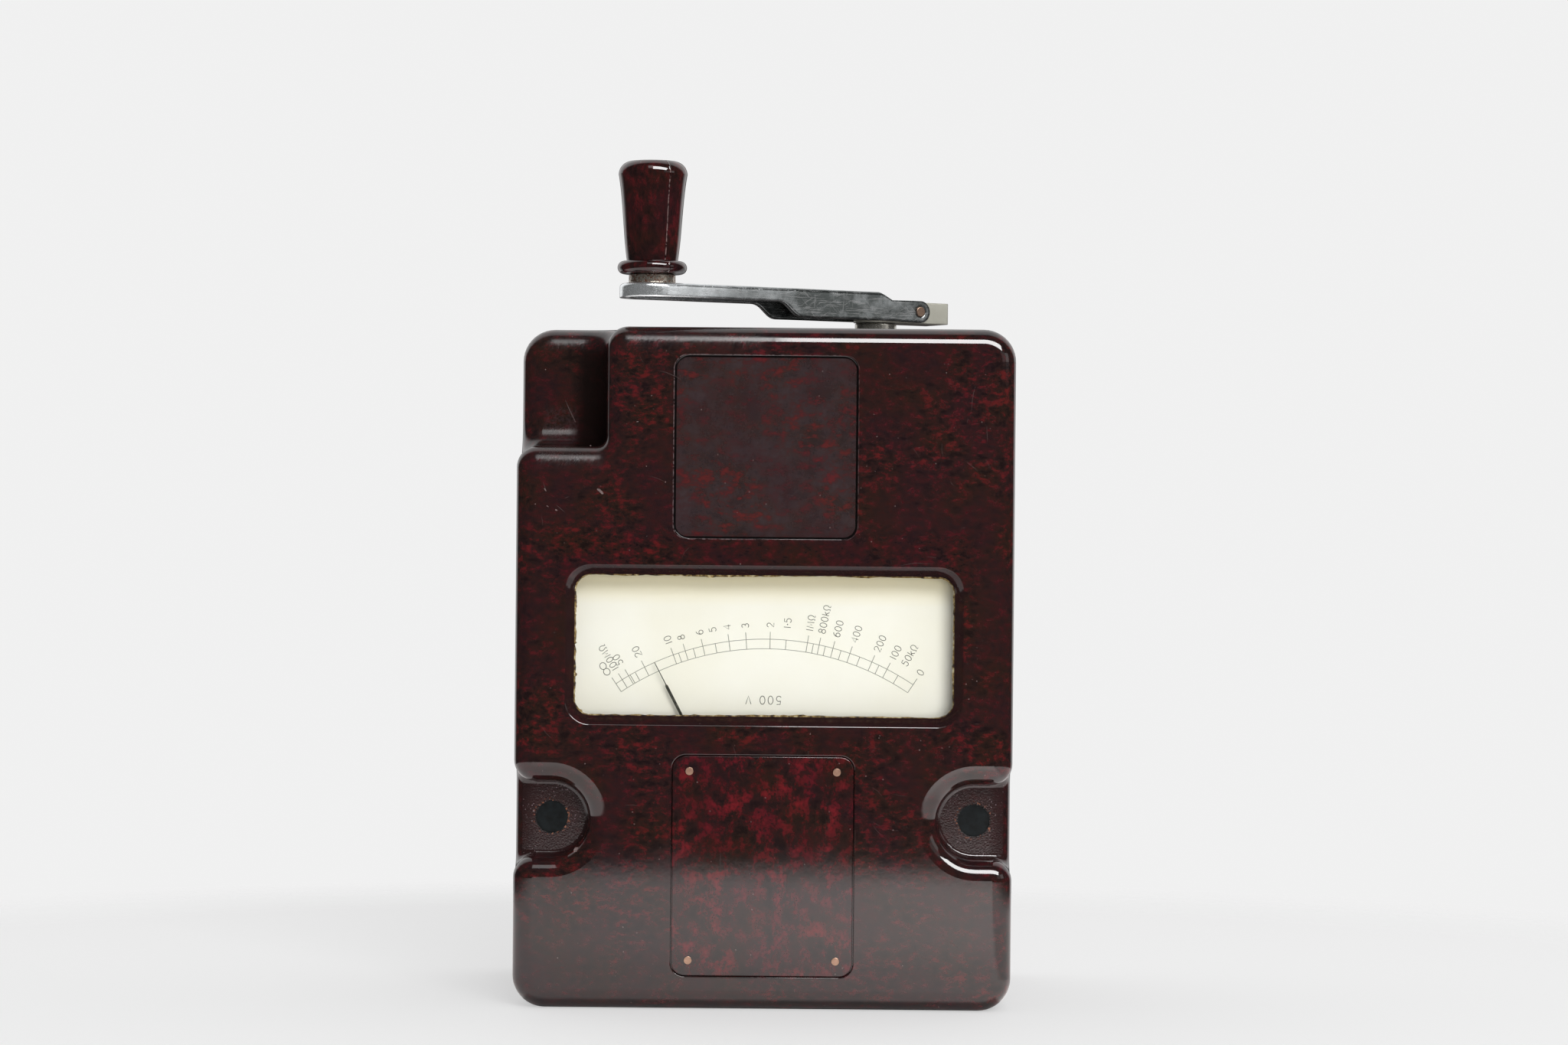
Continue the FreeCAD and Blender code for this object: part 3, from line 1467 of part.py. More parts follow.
def grip_washer():
    seat = Vector(crank_throw, 0, web_top)
    ring = tube(grip_washer_radius, grip_spindle_radius, seat, Z, grip_washer_height)
    edges = edges_where(ring, lambda p: near(math.hypot(p.x - crank_throw, p.y), grip_washer_radius))
    rims = [edge for edge in edges if not isinstance(edge.Curve, Part.Line)]
    return crank_place(ring.makeFillet(0.5, rims))


def finger_grip():
    """The moulded grip: a round foot ring, a waist and a taper that swells to a domed top."""
    z0 = grip_bottom
    ring_top = z0 + grip_ring_height
    end = z0 + grip_height
    crown = end - grip_top_round
    ring_r = grip_ring_radius
    waist = grip_waist_radius
    top_r = grip_top_radius
    curve_r = grip_top_round
    diagonal = curve_r * math.sqrt(0.5)

    def at(radius, z):
        return Vector(crank_throw + radius, 0, z)

    crown_radius = top_r - curve_r
    sphere = (crown_radius**2 + grip_crown_rise**2) / (2 * grip_crown_rise)
    half_angle = math.asin(crown_radius / sphere) / 2
    crown_drop = sphere * (1 - math.cos(half_angle))
    crown_middle = at(sphere * math.sin(half_angle), end + grip_crown_rise - crown_drop)
    half_ring = grip_ring_height / 2
    taper = Part.BSplineCurve()
    taper.interpolate([at(waist, ring_top), at(waist + 0.4, ring_top + 3.0), at(top_r - 1.1, crown - 9.0),
                       at(top_r, crown)])
    edges = [Part.makeLine(at(0, z0), at(ring_r - half_ring, z0)),
             Part.Arc(at(ring_r - half_ring, z0), at(ring_r, z0 + half_ring),
                      at(ring_r - half_ring, ring_top)).toShape(),
             Part.makeLine(at(ring_r - half_ring, ring_top), at(waist, ring_top)),
             taper.toShape(),
             Part.Arc(at(top_r, crown), at(crown_radius + diagonal, crown + diagonal),
                      at(crown_radius, end)).toShape(),
             Part.Arc(at(crown_radius, end), crown_middle, at(0, end + grip_crown_rise)).toShape(),
             Part.makeLine(at(0, end + grip_crown_rise), at(0, z0))]
    solid = turned_profile(edges, at(0, z0), Z)
    bore_length = grip_height - grip_bore_end + 1.0 + end_play
    bore = rod(grip_spindle_radius + running_gap, at(0, z0 - 1), Z, bore_length)
    return crank_place(solid.cut(bore))


# Terminals

def terminal_centre(sign, z):
    return Vector(sign * terminal_x, terminal_y, z)


def terminal_studs():
    """Brass studs through the roof of the recess, each with a shoulder below and a nut above."""
    studs = []
    for sign in (1, -1):
        start = knob_bottom + knob_cap + stud_knob_gap
        stem = rod(stud_radius, terminal_centre(sign, start), Z, stud_end - start)
        shoulder = rod(stud_flange_radius, terminal_centre(sign, terminal_recess_depth - stud_flange), Z,
                       stud_flange)
        studs.append(join([stem, shoulder]))
    return studs


def hexagon(sign, across, z0, height):
    radius = across / math.sqrt(3)
    points = []
    for step in range(6):
        angle = math.radians(60 * step + 30)
        points.append(terminal_centre(sign, z0) + Vector(math.cos(angle), math.sin(angle), 0) * radius)
    return polygon_prism(points, Z * height)


def terminal_nuts():
    roof = terminal_recess_depth + terminal_recess_wall
    return both_sides(lambda sign: hexagon(sign, nut_across, roof, nut_height).cut(
        rod(stud_radius, terminal_centre(sign, roof - over), Z, nut_height + 2 * over)))


def terminal_knob(sign):
    """A fluted screw-down knob with a collar against the clamp washer."""
    solid = rod(knob_radius, terminal_centre(sign, knob_bottom), Z, knob_height - 2.0)
    rims = edges_where(solid, lambda p: near(p.z, knob_bottom))
    solid = solid.makeFillet(1.2, rims)
    collar = rod(clamp_washer_radius - 0.5, terminal_centre(sign, knob_bottom), Z, knob_height)
    flutes = []
    for step in range(knob_flutes):
        angle = 2 * math.pi * step / knob_flutes
        outward = Vector(math.cos(angle), math.sin(angle), 0)
        spot = terminal_centre(sign, knob_bottom - 1) + outward * (knob_radius + 0.25)
        flutes.append(rod(0.7, spot, Z, knob_height - 0.9))
    bore = rod(stud_radius + thread_clearance, terminal_centre(sign, knob_bottom + knob_cap), Z, knob_height)
    return cut(join([solid.cut(Part.makeCompound(flutes)), collar]), [bore])


def clamp_ring(sign):
    """The washer that the knob presses on the lead."""
    return tube(clamp_washer_radius, stud_radius + thread_clearance, terminal_centre(sign, knob_top), Z,
                clamp_washer)


# Resistors and wiring

def resistor_board():
    y0 = magnet_y1 + board_standoff
    half = board_width / 2
    plate = plate_y(-half, half, y0, y0 + board_thickness, board_z - board_height / 2,
                    board_z + board_height / 2, 2.0)
    tools = []
    for sign in (1, -1):
        for spot in (board_pillar_foot(sign) + Y * board_standoff, bobbin_start(sign) - Y * board_thickness):
            tools.append(rod(board_pillar_spigot, spot - Y * over, Y, board_thickness + 2 * over))
    return cut(plate, tools)


def board_pillars():
    """Two spacers that stand the board off the backs of the magnets, with their spigots."""
    pillars = []
    for sign in (1, -1):
        start = board_pillar_foot(sign)
        body = rod(board_pillar_radius, start, Y, board_standoff)
        spigot = rod(board_pillar_spigot, start - Y * board_pillar_bite, Y,
                     board_pillar_bite + board_standoff + board_thickness + board_pillar_end)
        pillars.append(join([body, spigot]))
    return pillars


def board_pillar_foot(sign):
    return Vector(sign * (magnet_inner_x + magnet_thickness / 2), magnet_y1, board_z)


def bobbin_start(sign):
    return Vector(sign * bobbin_spacing / 2, magnet_y1 + board_standoff + board_thickness, board_z)


def resistor_bobbins():
    bobbins = []
    for sign in (1, -1):
        start = bobbin_start(sign)
        core = rod(bobbin_core_radius, start, Y, bobbin_length)
        near_flange = rod(bobbin_radius, start, Y, bobbin_flange)
        far_flange = rod(bobbin_radius, start + Y * (bobbin_length - bobbin_flange), Y, bobbin_flange)
        stem = rod(board_pillar_spigot, start - Y * board_thickness, Y, bobbin_length)
        bobbins.append(join([core, near_flange, far_flange, stem]))
    return bobbins


def resistor_windings():
    return both_sides(lambda sign: tube(bobbin_radius - 0.8, bobbin_core_radius,
                                        bobbin_start(sign) + Y * bobbin_flange, Y,
                                        bobbin_length - 2 * bobbin_flange))


def bent_wire(points):
    """A round wire along straight runs joined by arcs."""
    edges = []
    start = points[0]
    for previous, corner, following in zip(points, points[1:], points[2:]):
        into = (corner - previous).normalize()
        out = (following - corner).normalize()
        turn = into.getAngle(out)
        trim = wire_bend * math.tan(turn / 2)
        enter = corner - into * trim
        leave = corner + out * trim
        inward = (out - into).normalize()
        middle = corner + inward * (wire_bend / math.cos(turn / 2) - wire_bend)
        edges.append(Part.makeLine(start, enter))
        edges.append(Part.Arc(enter, middle, leave).toShape())
        start = leave
    edges.append(Part.makeLine(start, points[-1]))
    path = Part.Wire(edges)
    circle = Part.Circle(points[0], (points[1] - points[0]).normalize(), wire_radius)
    return path.makePipeShell([Part.Wire(circle.toShape())], True, False)


def internal_leads():
    """Two insulated wires from the terminal studs to the lower edge of the resistor board."""
    leads = []
    board_edge = board_z - board_height / 2
    board_middle = magnet_y1 + board_standoff + board_thickness / 2
    for sign in (1, -1):
        start = terminal_centre(sign, stud_end)
        rise = terminal_centre(sign, stud_end + 0.3 * (board_edge - stud_end))
        turn = Vector(start.x, board_middle, stud_end + 0.75 * (board_edge - stud_end))
        end = Vector(start.x, board_middle, board_edge)
        leads.append(bent_wire([start, rise, turn, end]))
    return leads


nodes = {
    "front_shell": front_shell,
    "rear_cover": rear_cover,
    "window_gasket": window_gasket,
    "window_glass": window_glass,
    "glass_clips": glass_clips,
    "dial_plate": dial_plate,
    "glass_and_dial_screws": glass_and_dial_screws,
    "rating_plate": rating_plate,
    "rating_rivets": rating_rivets,
    "case_screws": case_screws,
    "screw_seals": screw_seals,
    "rear_cover_screws": lambda: rear_screws() + foot_screws(),
    "rubber_feet": rubber_feet,
    "meter_poles": meter_poles,
    "meter_core": meter_core,
    "rear_bridge": rear_bridge,
    "front_bridge": front_bridge,
    "jewel_screws": jewel_screws,
    "pole_piece_screws": lambda: meter_screws() + magnet_screws(),
    "moving_coils": moving_coils,
    "pointer_spindle": pointer_spindle,
    "pointer": pointer,
    "balance_weights": balance_weights,
    "bar_magnets": bar_magnets,
    "generator_poles": generator_poles,
    "generator_bracket": generator_bracket,
    "armature_shaft": armature_shaft,
    "armature_core": armature_core,
    "armature_winding": armature_winding,
    "commutator": commutator,
    "armature_bearings": armature_bearings,
    "brush_holders": brush_holders,
    "carbon_brushes": carbon_brushes,
    "brush_springs": brush_springs,
    "armature_pinion": armature_pinion,
    "main_gear": main_gear,
    "intermediate_gear": intermediate_gear,
    "intermediate_arbor": intermediate_arbor,
    "upper_gear_plate": upper_gear_plate,
    "lower_gear_plate": lower_gear_plate,
    "frame_pillars": lambda: bracket_pillars() + plate_pillars() + board_pillars(),
    "plate_screws": plate_screws,
    "crank_bush": crank_bush,
    "crank_shaft": crank_shaft,
    "hub_block": hub_block,
    "crank_arm": crank_arm,
    "hinge_pin": hinge_pin,
    "grip_spindle": grip_spindle,
    "grip_washer": grip_washer,
    "finger_grip": finger_grip,
    "terminal_studs": terminal_studs,
    "terminal_nuts": terminal_nuts,
    "right_terminal_knob": lambda: terminal_knob(1),
    "left_terminal_knob": lambda: terminal_knob(-1),
    "right_clamp_washer": lambda: clamp_ring(1),
    "left_clamp_washer": lambda: clamp_ring(-1),
    "resistor_board": resistor_board,
    "resistor_coils": lambda: resistor_bobbins() + resistor_windings(),
    "internal_leads": internal_leads,
}

os.makedirs("parts", exist_ok=True)
for name, make in nodes.items():
    made = make()
    shape = Part.makeCompound(made) if isinstance(made, list) else made
    print(name, len(shape.Solids), round(shape.Volume, 1), shape.isValid())
    shape.exportStep("parts/" + name + ".step")
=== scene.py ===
import math
import random

import bmesh
import bpy
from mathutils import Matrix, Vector


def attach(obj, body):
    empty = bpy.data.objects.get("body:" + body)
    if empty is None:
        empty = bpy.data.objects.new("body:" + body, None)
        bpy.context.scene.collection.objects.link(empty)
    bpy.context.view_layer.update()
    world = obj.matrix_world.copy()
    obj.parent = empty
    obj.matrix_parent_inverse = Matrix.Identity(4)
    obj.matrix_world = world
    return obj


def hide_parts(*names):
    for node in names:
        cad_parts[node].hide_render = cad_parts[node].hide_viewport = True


# Hand-cranked insulation tester on a white table, seen from the front.
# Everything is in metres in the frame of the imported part: X right, Y away from the camera, Z up.

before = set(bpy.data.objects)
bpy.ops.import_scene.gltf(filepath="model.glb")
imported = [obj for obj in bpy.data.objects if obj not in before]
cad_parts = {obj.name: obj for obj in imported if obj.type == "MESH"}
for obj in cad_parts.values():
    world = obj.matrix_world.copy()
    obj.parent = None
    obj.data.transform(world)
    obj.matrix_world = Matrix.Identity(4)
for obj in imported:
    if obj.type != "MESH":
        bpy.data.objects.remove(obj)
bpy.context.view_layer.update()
print("stage: frame loaded, nodes", len(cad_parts))

scene = bpy.context.scene
scene.view_settings.view_transform = "Standard"
mm = 0.001


def linear(hexTone):
    channels = [int(hexTone[i:i + 2], 16) / 255 for i in (1, 3, 5)]
    return tuple(c / 12.92 if c <= 0.04045 else ((c + 0.055) / 1.055) ** 2.4 for c in channels) + (1.0,)


def perMm(size):
    # texture scale that makes one cell of the pattern this many millimetres across
    return 1000.0 / size


def addNode(tree, kind, links=None, stops=None, **settings):
    node = tree.nodes.new("ShaderNode" + kind)
    for name, value in settings.items():
        setattr(node, name, value)
    for socket, value in (links or {}).items():
        if isinstance(value, bpy.types.NodeSocket):
            tree.links.new(value, node.inputs[socket])
        else:
            node.inputs[socket].default_value = value
    if stops:
        marks = node.color_ramp.elements
        marks[0].position, marks[0].color = stops[0]
        marks[1].position, marks[1].color = stops[-1]
        for spot, shade in stops[1:-1]:
            marks.new(spot).color = shade
    return node


def startMaterial(name, **uniform):
    material = bpy.data.materials.new(name)
    material.use_nodes = True
    tree = material.node_tree
    shader = tree.nodes["Principled BSDF"]
    for socket, value in uniform.items():
        shader.inputs[socket.replace("_", " ")].default_value = value
    place = addNode(tree, "TexCoord").outputs["Object"]
    return material, tree, shader, place


def insideBox(tree, place, low, high, soft):
    # 1 inside a box given in millimetres, 0 outside, with a soft edge
    centre = [(a + b) / 2 * mm for a, b in zip(low, high)]
    half = [(b - a) / 2 * mm for a, b in zip(low, high)]
    away = addNode(tree, "VectorMath", {0: place, 1: centre}, operation="SUBTRACT")
    away = addNode(tree, "VectorMath", {0: away.outputs[0]}, operation="ABSOLUTE")
    past = addNode(tree, "VectorMath", {0: away.outputs[0], 1: half}, operation="SUBTRACT")
    axes = addNode(tree, "SeparateXYZ", {0: past.outputs[0]})
    worst = addNode(tree, "Math", {0: axes.outputs[0], 1: axes.outputs[1]}, operation="MAXIMUM")
    worst = addNode(tree, "Math", {0: worst.outputs[0], 1: axes.outputs[2]}, operation="MAXIMUM")
    mask = addNode(tree, "MapRange", {"Value": worst.outputs[0], "From Min": soft * mm, "From Max": 0.0})
    return mask.outputs["Result"]


def insideFrame(tree, place, low, high, corner, soft):
    # the same for a frame with round corners, seen along Y: low and high are (x, z) in millimetres
    centre = ((low[0] + high[0]) / 2 * mm, 0.0, (low[1] + high[1]) / 2 * mm)
    inner = (((high[0] - low[0]) / 2 - corner) * mm, 1.0, ((high[1] - low[1]) / 2 - corner) * mm)
    away = addNode(tree, "VectorMath", {0: place, 1: centre}, operation="SUBTRACT")
    away = addNode(tree, "VectorMath", {0: away.outputs[0]}, operation="ABSOLUTE")
    past = addNode(tree, "VectorMath", {0: away.outputs[0], 1: inner}, operation="SUBTRACT")
    past = addNode(tree, "VectorMath", {0: past.outputs[0], 1: (0.0, 0.0, 0.0)}, operation="MAXIMUM")
    reach = addNode(tree, "VectorMath", {0: past.outputs[0]}, operation="LENGTH")
    mask = addNode(tree, "MapRange", {"Value": reach.outputs["Value"], "From Min": (corner + soft) * mm,
                                      "From Max": corner * mm})
    return mask.outputs["Result"]


def mixTones(tree, amount, first, second):
    mix = addNode(tree, "Mix", {0: amount, 6: first, 7: second}, data_type="RGBA")
    return mix.outputs[2]


def mixNumbers(tree, amount, first, second):
    mix = addNode(tree, "Mix", {0: amount, 2: first, 3: second}, data_type="FLOAT")
    return mix.outputs[0]


# Camera
photoCamera = {"place": (0.00556, -1.255, 0.1464), "roll": -0.0093, "lens": 91.95, "film": 36.0}


def makeCamera(values):
    camera = bpy.data.cameras.new("photoCamera")
    camera.lens = values["lens"]
    camera.sensor_width = values["film"]
    camera.clip_start = 0.01
    holder = bpy.data.objects.new("photoCamera", camera)
    holder.location = values["place"]
    holder.rotation_euler = (math.pi / 2, values["roll"], 0.0)
    scene.collection.objects.link(holder)
    scene.camera = holder


makeCamera(photoCamera)
print("stage: camera placed")


# Studio: a round white table, a dark room behind the camera, and a bright wall behind the object
studioRoom = {
    "cameraTone": 0.875, "softFront": 0.33, "softBehind": 0.90, "darkRoom": 0.04, "brightWall": 1.0,
    "wallFrom": (0.58, 0.76), "wallTo": (0.90, 0.96),
    "tableTone": "#ebebeb", "tableMatt": "#adadad", "tableGlow": 0.47, "tableWarmth": "#fff4f1",
    "tableMiddle": (0.0, -0.10, 0.0), "tableReach": (0.385, 0.485), "tableShine": 1.0, "shineAcross": 5.0,
    "frontLow": (-112.0, -600.0, -1.0), "frontHigh": (112.0, 62.0, 1.0), "asideShine": 0.5,
    "footLow": (-80.0, -55.0, -1.0), "footHigh": (80.0, 60.0, 1.0), "footSoft": 100.0, "footShine": 0.70,
    "contactShadowLow": (-73.0, 45.3, -1.0), "contactShadowHigh": (73.0, 158.0, 1.0),
}
# the first light carries the shadows, the others only draw the reflections
studioLamps = {
    "keySoftbox": {"place": (0.50, -1.78, 0.96), "aim": (0.0, -0.05, 0.11), "size": (0.9, 0.62),
                   "radiance": 10.4, "mirrored": False},
    "frontSoftbox": {"place": (0.42, -1.78, 0.06), "aim": (0.0, -0.05, 0.11), "size": (0.75, 0.50),
                     "radiance": 10.5, "mirrored": False},
    "topStrip": {"place": (0.65, -1.05, 1.20), "aim": (0.65, -0.05, 0.20), "size": (1.3, 0.60),
                 "radiance": 15.0, "mirrored": True},
    "topStripEnd": {"place": (-0.16, -0.85, 1.25), "aim": (-0.16, -0.05, 0.20), "size": (0.32, 0.55),
                    "radiance": 1.7, "mirrored": True},
    "sideCard": {"place": (0.72, -0.70, 0.40), "aim": (0.0, -0.03, 0.21), "size": (0.34, 0.33),
                 "radiance": 0.35, "mirrored": True},
    "sideCardBright": {"place": (0.95, -0.44, 0.40), "aim": (0.0, -0.03, 0.21), "size": (0.34, 0.33),
                       "radiance": 0.90, "mirrored": True},
}


def onlyFirstBounce(tree):
    # camera rays, and rays mirrored by or seen through the object before anything matt
    path = addNode(tree, "LightPath")
    direct = addNode(tree, "Math", {0: path.outputs["Diffuse Depth"], 1: 0.5}, operation="LESS_THAN")
    through = addNode(tree, "Math", {0: path.outputs["Is Transmission Ray"], 1: direct.outputs[0]},
                      operation="MULTIPLY")
    mirrored = addNode(tree, "Math", {0: path.outputs["Is Glossy Ray"], 1: direct.outputs[0]}, operation="MULTIPLY")
    seen = addNode(tree, "Math", {0: path.outputs["Is Camera Ray"], 1: through.outputs[0]}, operation="MAXIMUM")
    return seen.outputs[0], mirrored.outputs[0]


def makeWorld(values):
    world = bpy.data.worlds.new("studioRoom")
    world.use_nodes = True
    scene.world = world
    tree = world.node_tree
    tree.nodes.clear()
    way = addNode(tree, "TexCoord").outputs["Generated"]
    axes = addNode(tree, "SeparateXYZ", {0: way})
    up = addNode(tree, "Math", {0: axes.outputs[2], 1: 0.0}, operation="MAXIMUM")
    behind = addNode(tree, "Math", {0: up.outputs[0], 1: 0.6, 2: axes.outputs[1]}, operation="MULTIPLY_ADD")
    wall = addNode(tree, "MapRange", {"Value": behind.outputs[0], "From Min": values["wallFrom"][0],
                                      "From Max": values["wallFrom"][1], "To Min": values["darkRoom"],
                                      "To Max": values["brightWall"]})
    middle = addNode(tree, "MapRange", {"Value": axes.outputs[1], "From Min": values["wallTo"][0],
                                        "From Max": values["wallTo"][1], "To Min": 1.0, "To Max": 0.12})
    wall = addNode(tree, "Math", {0: wall.outputs[0], 1: middle.outputs[0]}, operation="MULTIPLY")
    soft = addNode(tree, "MapRange", {"Value": axes.outputs[1], "From Min": -0.25, "From Max": 0.05,
                                      "To Min": values["softFront"], "To Max": values["softBehind"]})
    seen, mirrored = onlyFirstBounce(tree)
    tone = mixNumbers(tree, mirrored, soft.outputs[0], wall.outputs[0])
    tone = mixNumbers(tree, seen, tone, values["cameraTone"])
    background = addNode(tree, "Background", {"Color": tone})
    addNode(tree, "OutputWorld", {"Surface": background.outputs[0]})


def makeTable(values):
    # Matt white background paper: an even sheet with a barely visible tooth, faded out towards its edge
    material, tree, shader, place = startMaterial("whiteBackgroundPaper", Roughness=0.9)
    cloud = addNode(tree, "TexNoise", {"Vector": place, "Scale": perMm(90.0), "Detail": 3.0})
    tone = linear(values["tableTone"])
    dull = tuple(c * 0.97 for c in tone[:3]) + (1.0,)
    tones = addNode(tree, "ValToRGB", {0: cloud.outputs["Fac"]}, stops=[(0.3, dull), (0.7, tone)])
    seen, mirrored = onlyFirstBounce(tree)
    matt = mixTones(tree, seen, tones.outputs[0], linear(values["tableMatt"]))
    tree.links.new(matt, shader.inputs["Base Color"])
    reach = addNode(tree, "VectorMath", {0: place}, operation="LENGTH")
    near, far = values["tableReach"]
    solid = addNode(tree, "MapRange", {"Value": reach.outputs["Value"], "From Min": far, "From Max": near})
    axes = addNode(tree, "SeparateXYZ", {0: place})
    # painted reflection: in mirrored rays the sheet glows, brighter to the right and in front, dimmer round the foot
    # of the case
    across = addNode(tree, "MapRange", {"Value": axes.outputs[0], "From Min": -0.08, "From Max": 0.08,
                                        "To Min": values["tableShine"] - 0.08 * values["shineAcross"],
                                        "To Max": values["tableShine"] + 0.08 * values["shineAcross"]})
    # painted contact shadow: the glow in reflections is cut out under the case and just in front of it
    contactShadow = insideBox(tree, place, values["contactShadowLow"], values["contactShadowHigh"], 2.2)
    outsideContactShadow = addNode(tree, "Math", {0: 1.0, 1: contactShadow}, operation="SUBTRACT")
    inFront = insideBox(tree, place, values["frontLow"], values["frontHigh"], 45.0)
    glare = mixNumbers(tree, inFront, values["asideShine"], across.outputs[0])
    foot = insideBox(tree, place, values["footLow"], values["footHigh"], values["footSoft"])
    near = addNode(tree, "Math", {0: glare, 1: values["footShine"]}, operation="MULTIPLY")
    glare = mixNumbers(tree, foot, glare, near.outputs[0])
    shine = addNode(tree, "Math", {0: mirrored, 1: glare}, operation="MULTIPLY")
    shine = addNode(tree, "Math", {0: shine.outputs[0], 1: outsideContactShadow.outputs[0]}, operation="MULTIPLY")
    shine = addNode(tree, "Math", {0: seen, 1: values["tableGlow"], 2: shine.outputs[0]}, operation="MULTIPLY_ADD")
    warmth = mixTones(tree, seen, linear(values["tableWarmth"]), (1.0, 1.0, 1.0, 1.0))
    tree.links.new(warmth, shader.inputs["Emission Color"])
    tree.links.new(shine.outputs[0], shader.inputs["Emission Strength"])
    clear = addNode(tree, "BsdfTransparent")
    blend = addNode(tree, "MixShader", {0: solid.outputs[0], 1: clear.outputs[0], 2: shader.outputs[0]})
    tree.links.new(blend.outputs[0], tree.nodes["Material Output"].inputs["Surface"])
    mesh = bpy.data.meshes.new("tableSheet")
    form = bmesh.new()
    bmesh.ops.create_circle(form, cap_ends=True, radius=far, segments=96)
    form.to_mesh(mesh)
    form.free()
    mesh.materials.append(material)
    table = bpy.data.objects.new("tableSheet", mesh)
    table.location = values["tableMiddle"]
    scene.collection.objects.link(table)


def makeLamp(name, values):
    lamp = bpy.data.lights.new(name, "AREA")
    lamp.shape = "RECTANGLE"
    lamp.size, lamp.size_y = values["size"]
    lamp.energy = values["radiance"] * math.pi * lamp.size * lamp.size_y
    holder = bpy.data.objects.new(name, lamp)
    holder.location = values["place"]
    holder.visible_diffuse = not values["mirrored"]
    holder.visible_glossy = values["mirrored"]
    aim = Vector(values["aim"]) - Vector(values["place"])
    holder.rotation_euler = aim.to_track_quat("-Z", "Y").to_euler()
    scene.collection.objects.link(holder)


makeWorld(studioRoom)
makeTable(studioRoom)
for lampName, lampValues in studioLamps.items():
    makeLamp(lampName, lampValues)
print("stage: studio lit")


# Mottled Bakelite of the case, the knobs and the grip
caseBakelite = {
    "shade": "#1a1011", "ground": "#251817", "warm": "#2d1816", "flake": "#3b1719", "bright": "#531a1b",
    "flakeMm": 2.3, "grainMm": 0.8, "swirlMm": 7.0, "swirl": 1.0, "clusterMm": 26.0, "drawn": (0.6, 1.0, 1.0),
    "calm": 0.75, "rich": 1.75, "balance": 0.69, "dustMm": 4.5, "roughness": 0.05, "peelMm": 1.7, "peel": 0.003,
}
coverBakelite = dict(caseBakelite, warm="#331917", flake="#471a1c", bright="#661f21", balance=0.675)
plateBakelite = dict(caseBakelite, warm="#331616", flake="#4a171b", bright="#641a20", balance=0.67, calm=0.9, rich=1.6,
                     flakeMm=3.4, clusterMm=11.0, drawn=(0.9, 1.0, 0.8))
gripBakelite = dict(caseBakelite, shade="#160c0c", ground="#221312", warm="#2c1413", flake="#3d1516",
                    bright="#4c1718", balance=0.67, calm=0.8, rich=1.3, flakeMm=2.8, clusterMm=10.0, drawn=(1.0, 1.0, 0.6),
                    roughness=0.04, peel=0.0012)


def mottle(tree, place, look):
    # drawn-out flakes of dyed filler in a dark resin, gathered in clusters and pulled along by the flow
    swirl = addNode(tree, "TexNoise", {"Vector": place, "Scale": perMm(look["swirlMm"]), "Detail": 2.0})
    shift = addNode(tree, "VectorMath", {0: swirl.outputs["Color"], 1: (0.5, 0.5, 0.5)}, operation="SUBTRACT")
    reach = (look["swirl"] * mm,) * 3
    moved = addNode(tree, "VectorMath", {0: shift.outputs[0], 1: reach, 2: place}, operation="MULTIPLY_ADD")
    drawn = addNode(tree, "Mapping", {"Vector": moved.outputs[0], "Scale": look["drawn"]})
    flakes = addNode(tree, "TexNoise", {"Vector": drawn.outputs[0], "Scale": perMm(look["flakeMm"]),
                                        "Detail": 5.0, "Roughness": 0.6})
    grains = addNode(tree, "TexNoise", {"Vector": drawn.outputs[0], "Scale": perMm(look["grainMm"]),
                                        "Detail": 3.0, "Roughness": 0.6})
    clusters = addNode(tree, "TexNoise", {"Vector": place, "Scale": perMm(look["clusterMm"]), "Detail": 2.0})
    gather = addNode(tree, "MapRange", {"Value": clusters.outputs["Fac"], "From Min": 0.42, "From Max": 0.60,
                                        "To Min": look["calm"], "To Max": look["rich"]})
    both = addNode(tree, "Math", {0: grains.outputs["Fac"], 1: 0.4, 2: flakes.outputs["Fac"]},
                   operation="MULTIPLY_ADD")
    centred = addNode(tree, "Math", {0: both.outputs[0], 1: look["balance"]}, operation="SUBTRACT")
    amount = addNode(tree, "Math", {0: centred.outputs[0], 1: gather.outputs[0], 2: 0.5}, operation="MULTIPLY_ADD")
    tones = addNode(tree, "ValToRGB", {0: amount.outputs[0]}, stops=[
        (0.30, linear(look["shade"])), (0.44, linear(look["ground"])), (0.54, linear(look["warm"])),
        (0.64, linear(look["flake"])), (0.80, linear(look["bright"]))])
    tint = addNode(tree, "TexNoise", {"Vector": place, "Scale": perMm(13.0), "Detail": 3.0})
    casts = addNode(tree, "ValToRGB", {0: tint.outputs["Fac"]},
                    stops=[(0.35, (1.0, 0.84, 1.02, 1.0)), (0.65, (0.98, 1.0, 0.80, 1.0))])
    cast = addNode(tree, "Mix", {0: 1.0, 6: tones.outputs[0], 7: casts.outputs[0]}, data_type="RGBA",
                   blend_type="MULTIPLY")
    dust = addNode(tree, "TexVoronoi", {"Vector": place, "Scale": perMm(look["dustMm"])})
    dots = addNode(tree, "MapRange", {"Value": dust.outputs["Distance"], "From Min": 0.050, "From Max": 0.025,
                                      "To Max": 0.75})
    tone = mixTones(tree, dots.outputs[0], cast.outputs[2], linear("#7d6d6b"))
    return tone, amount.outputs[0]


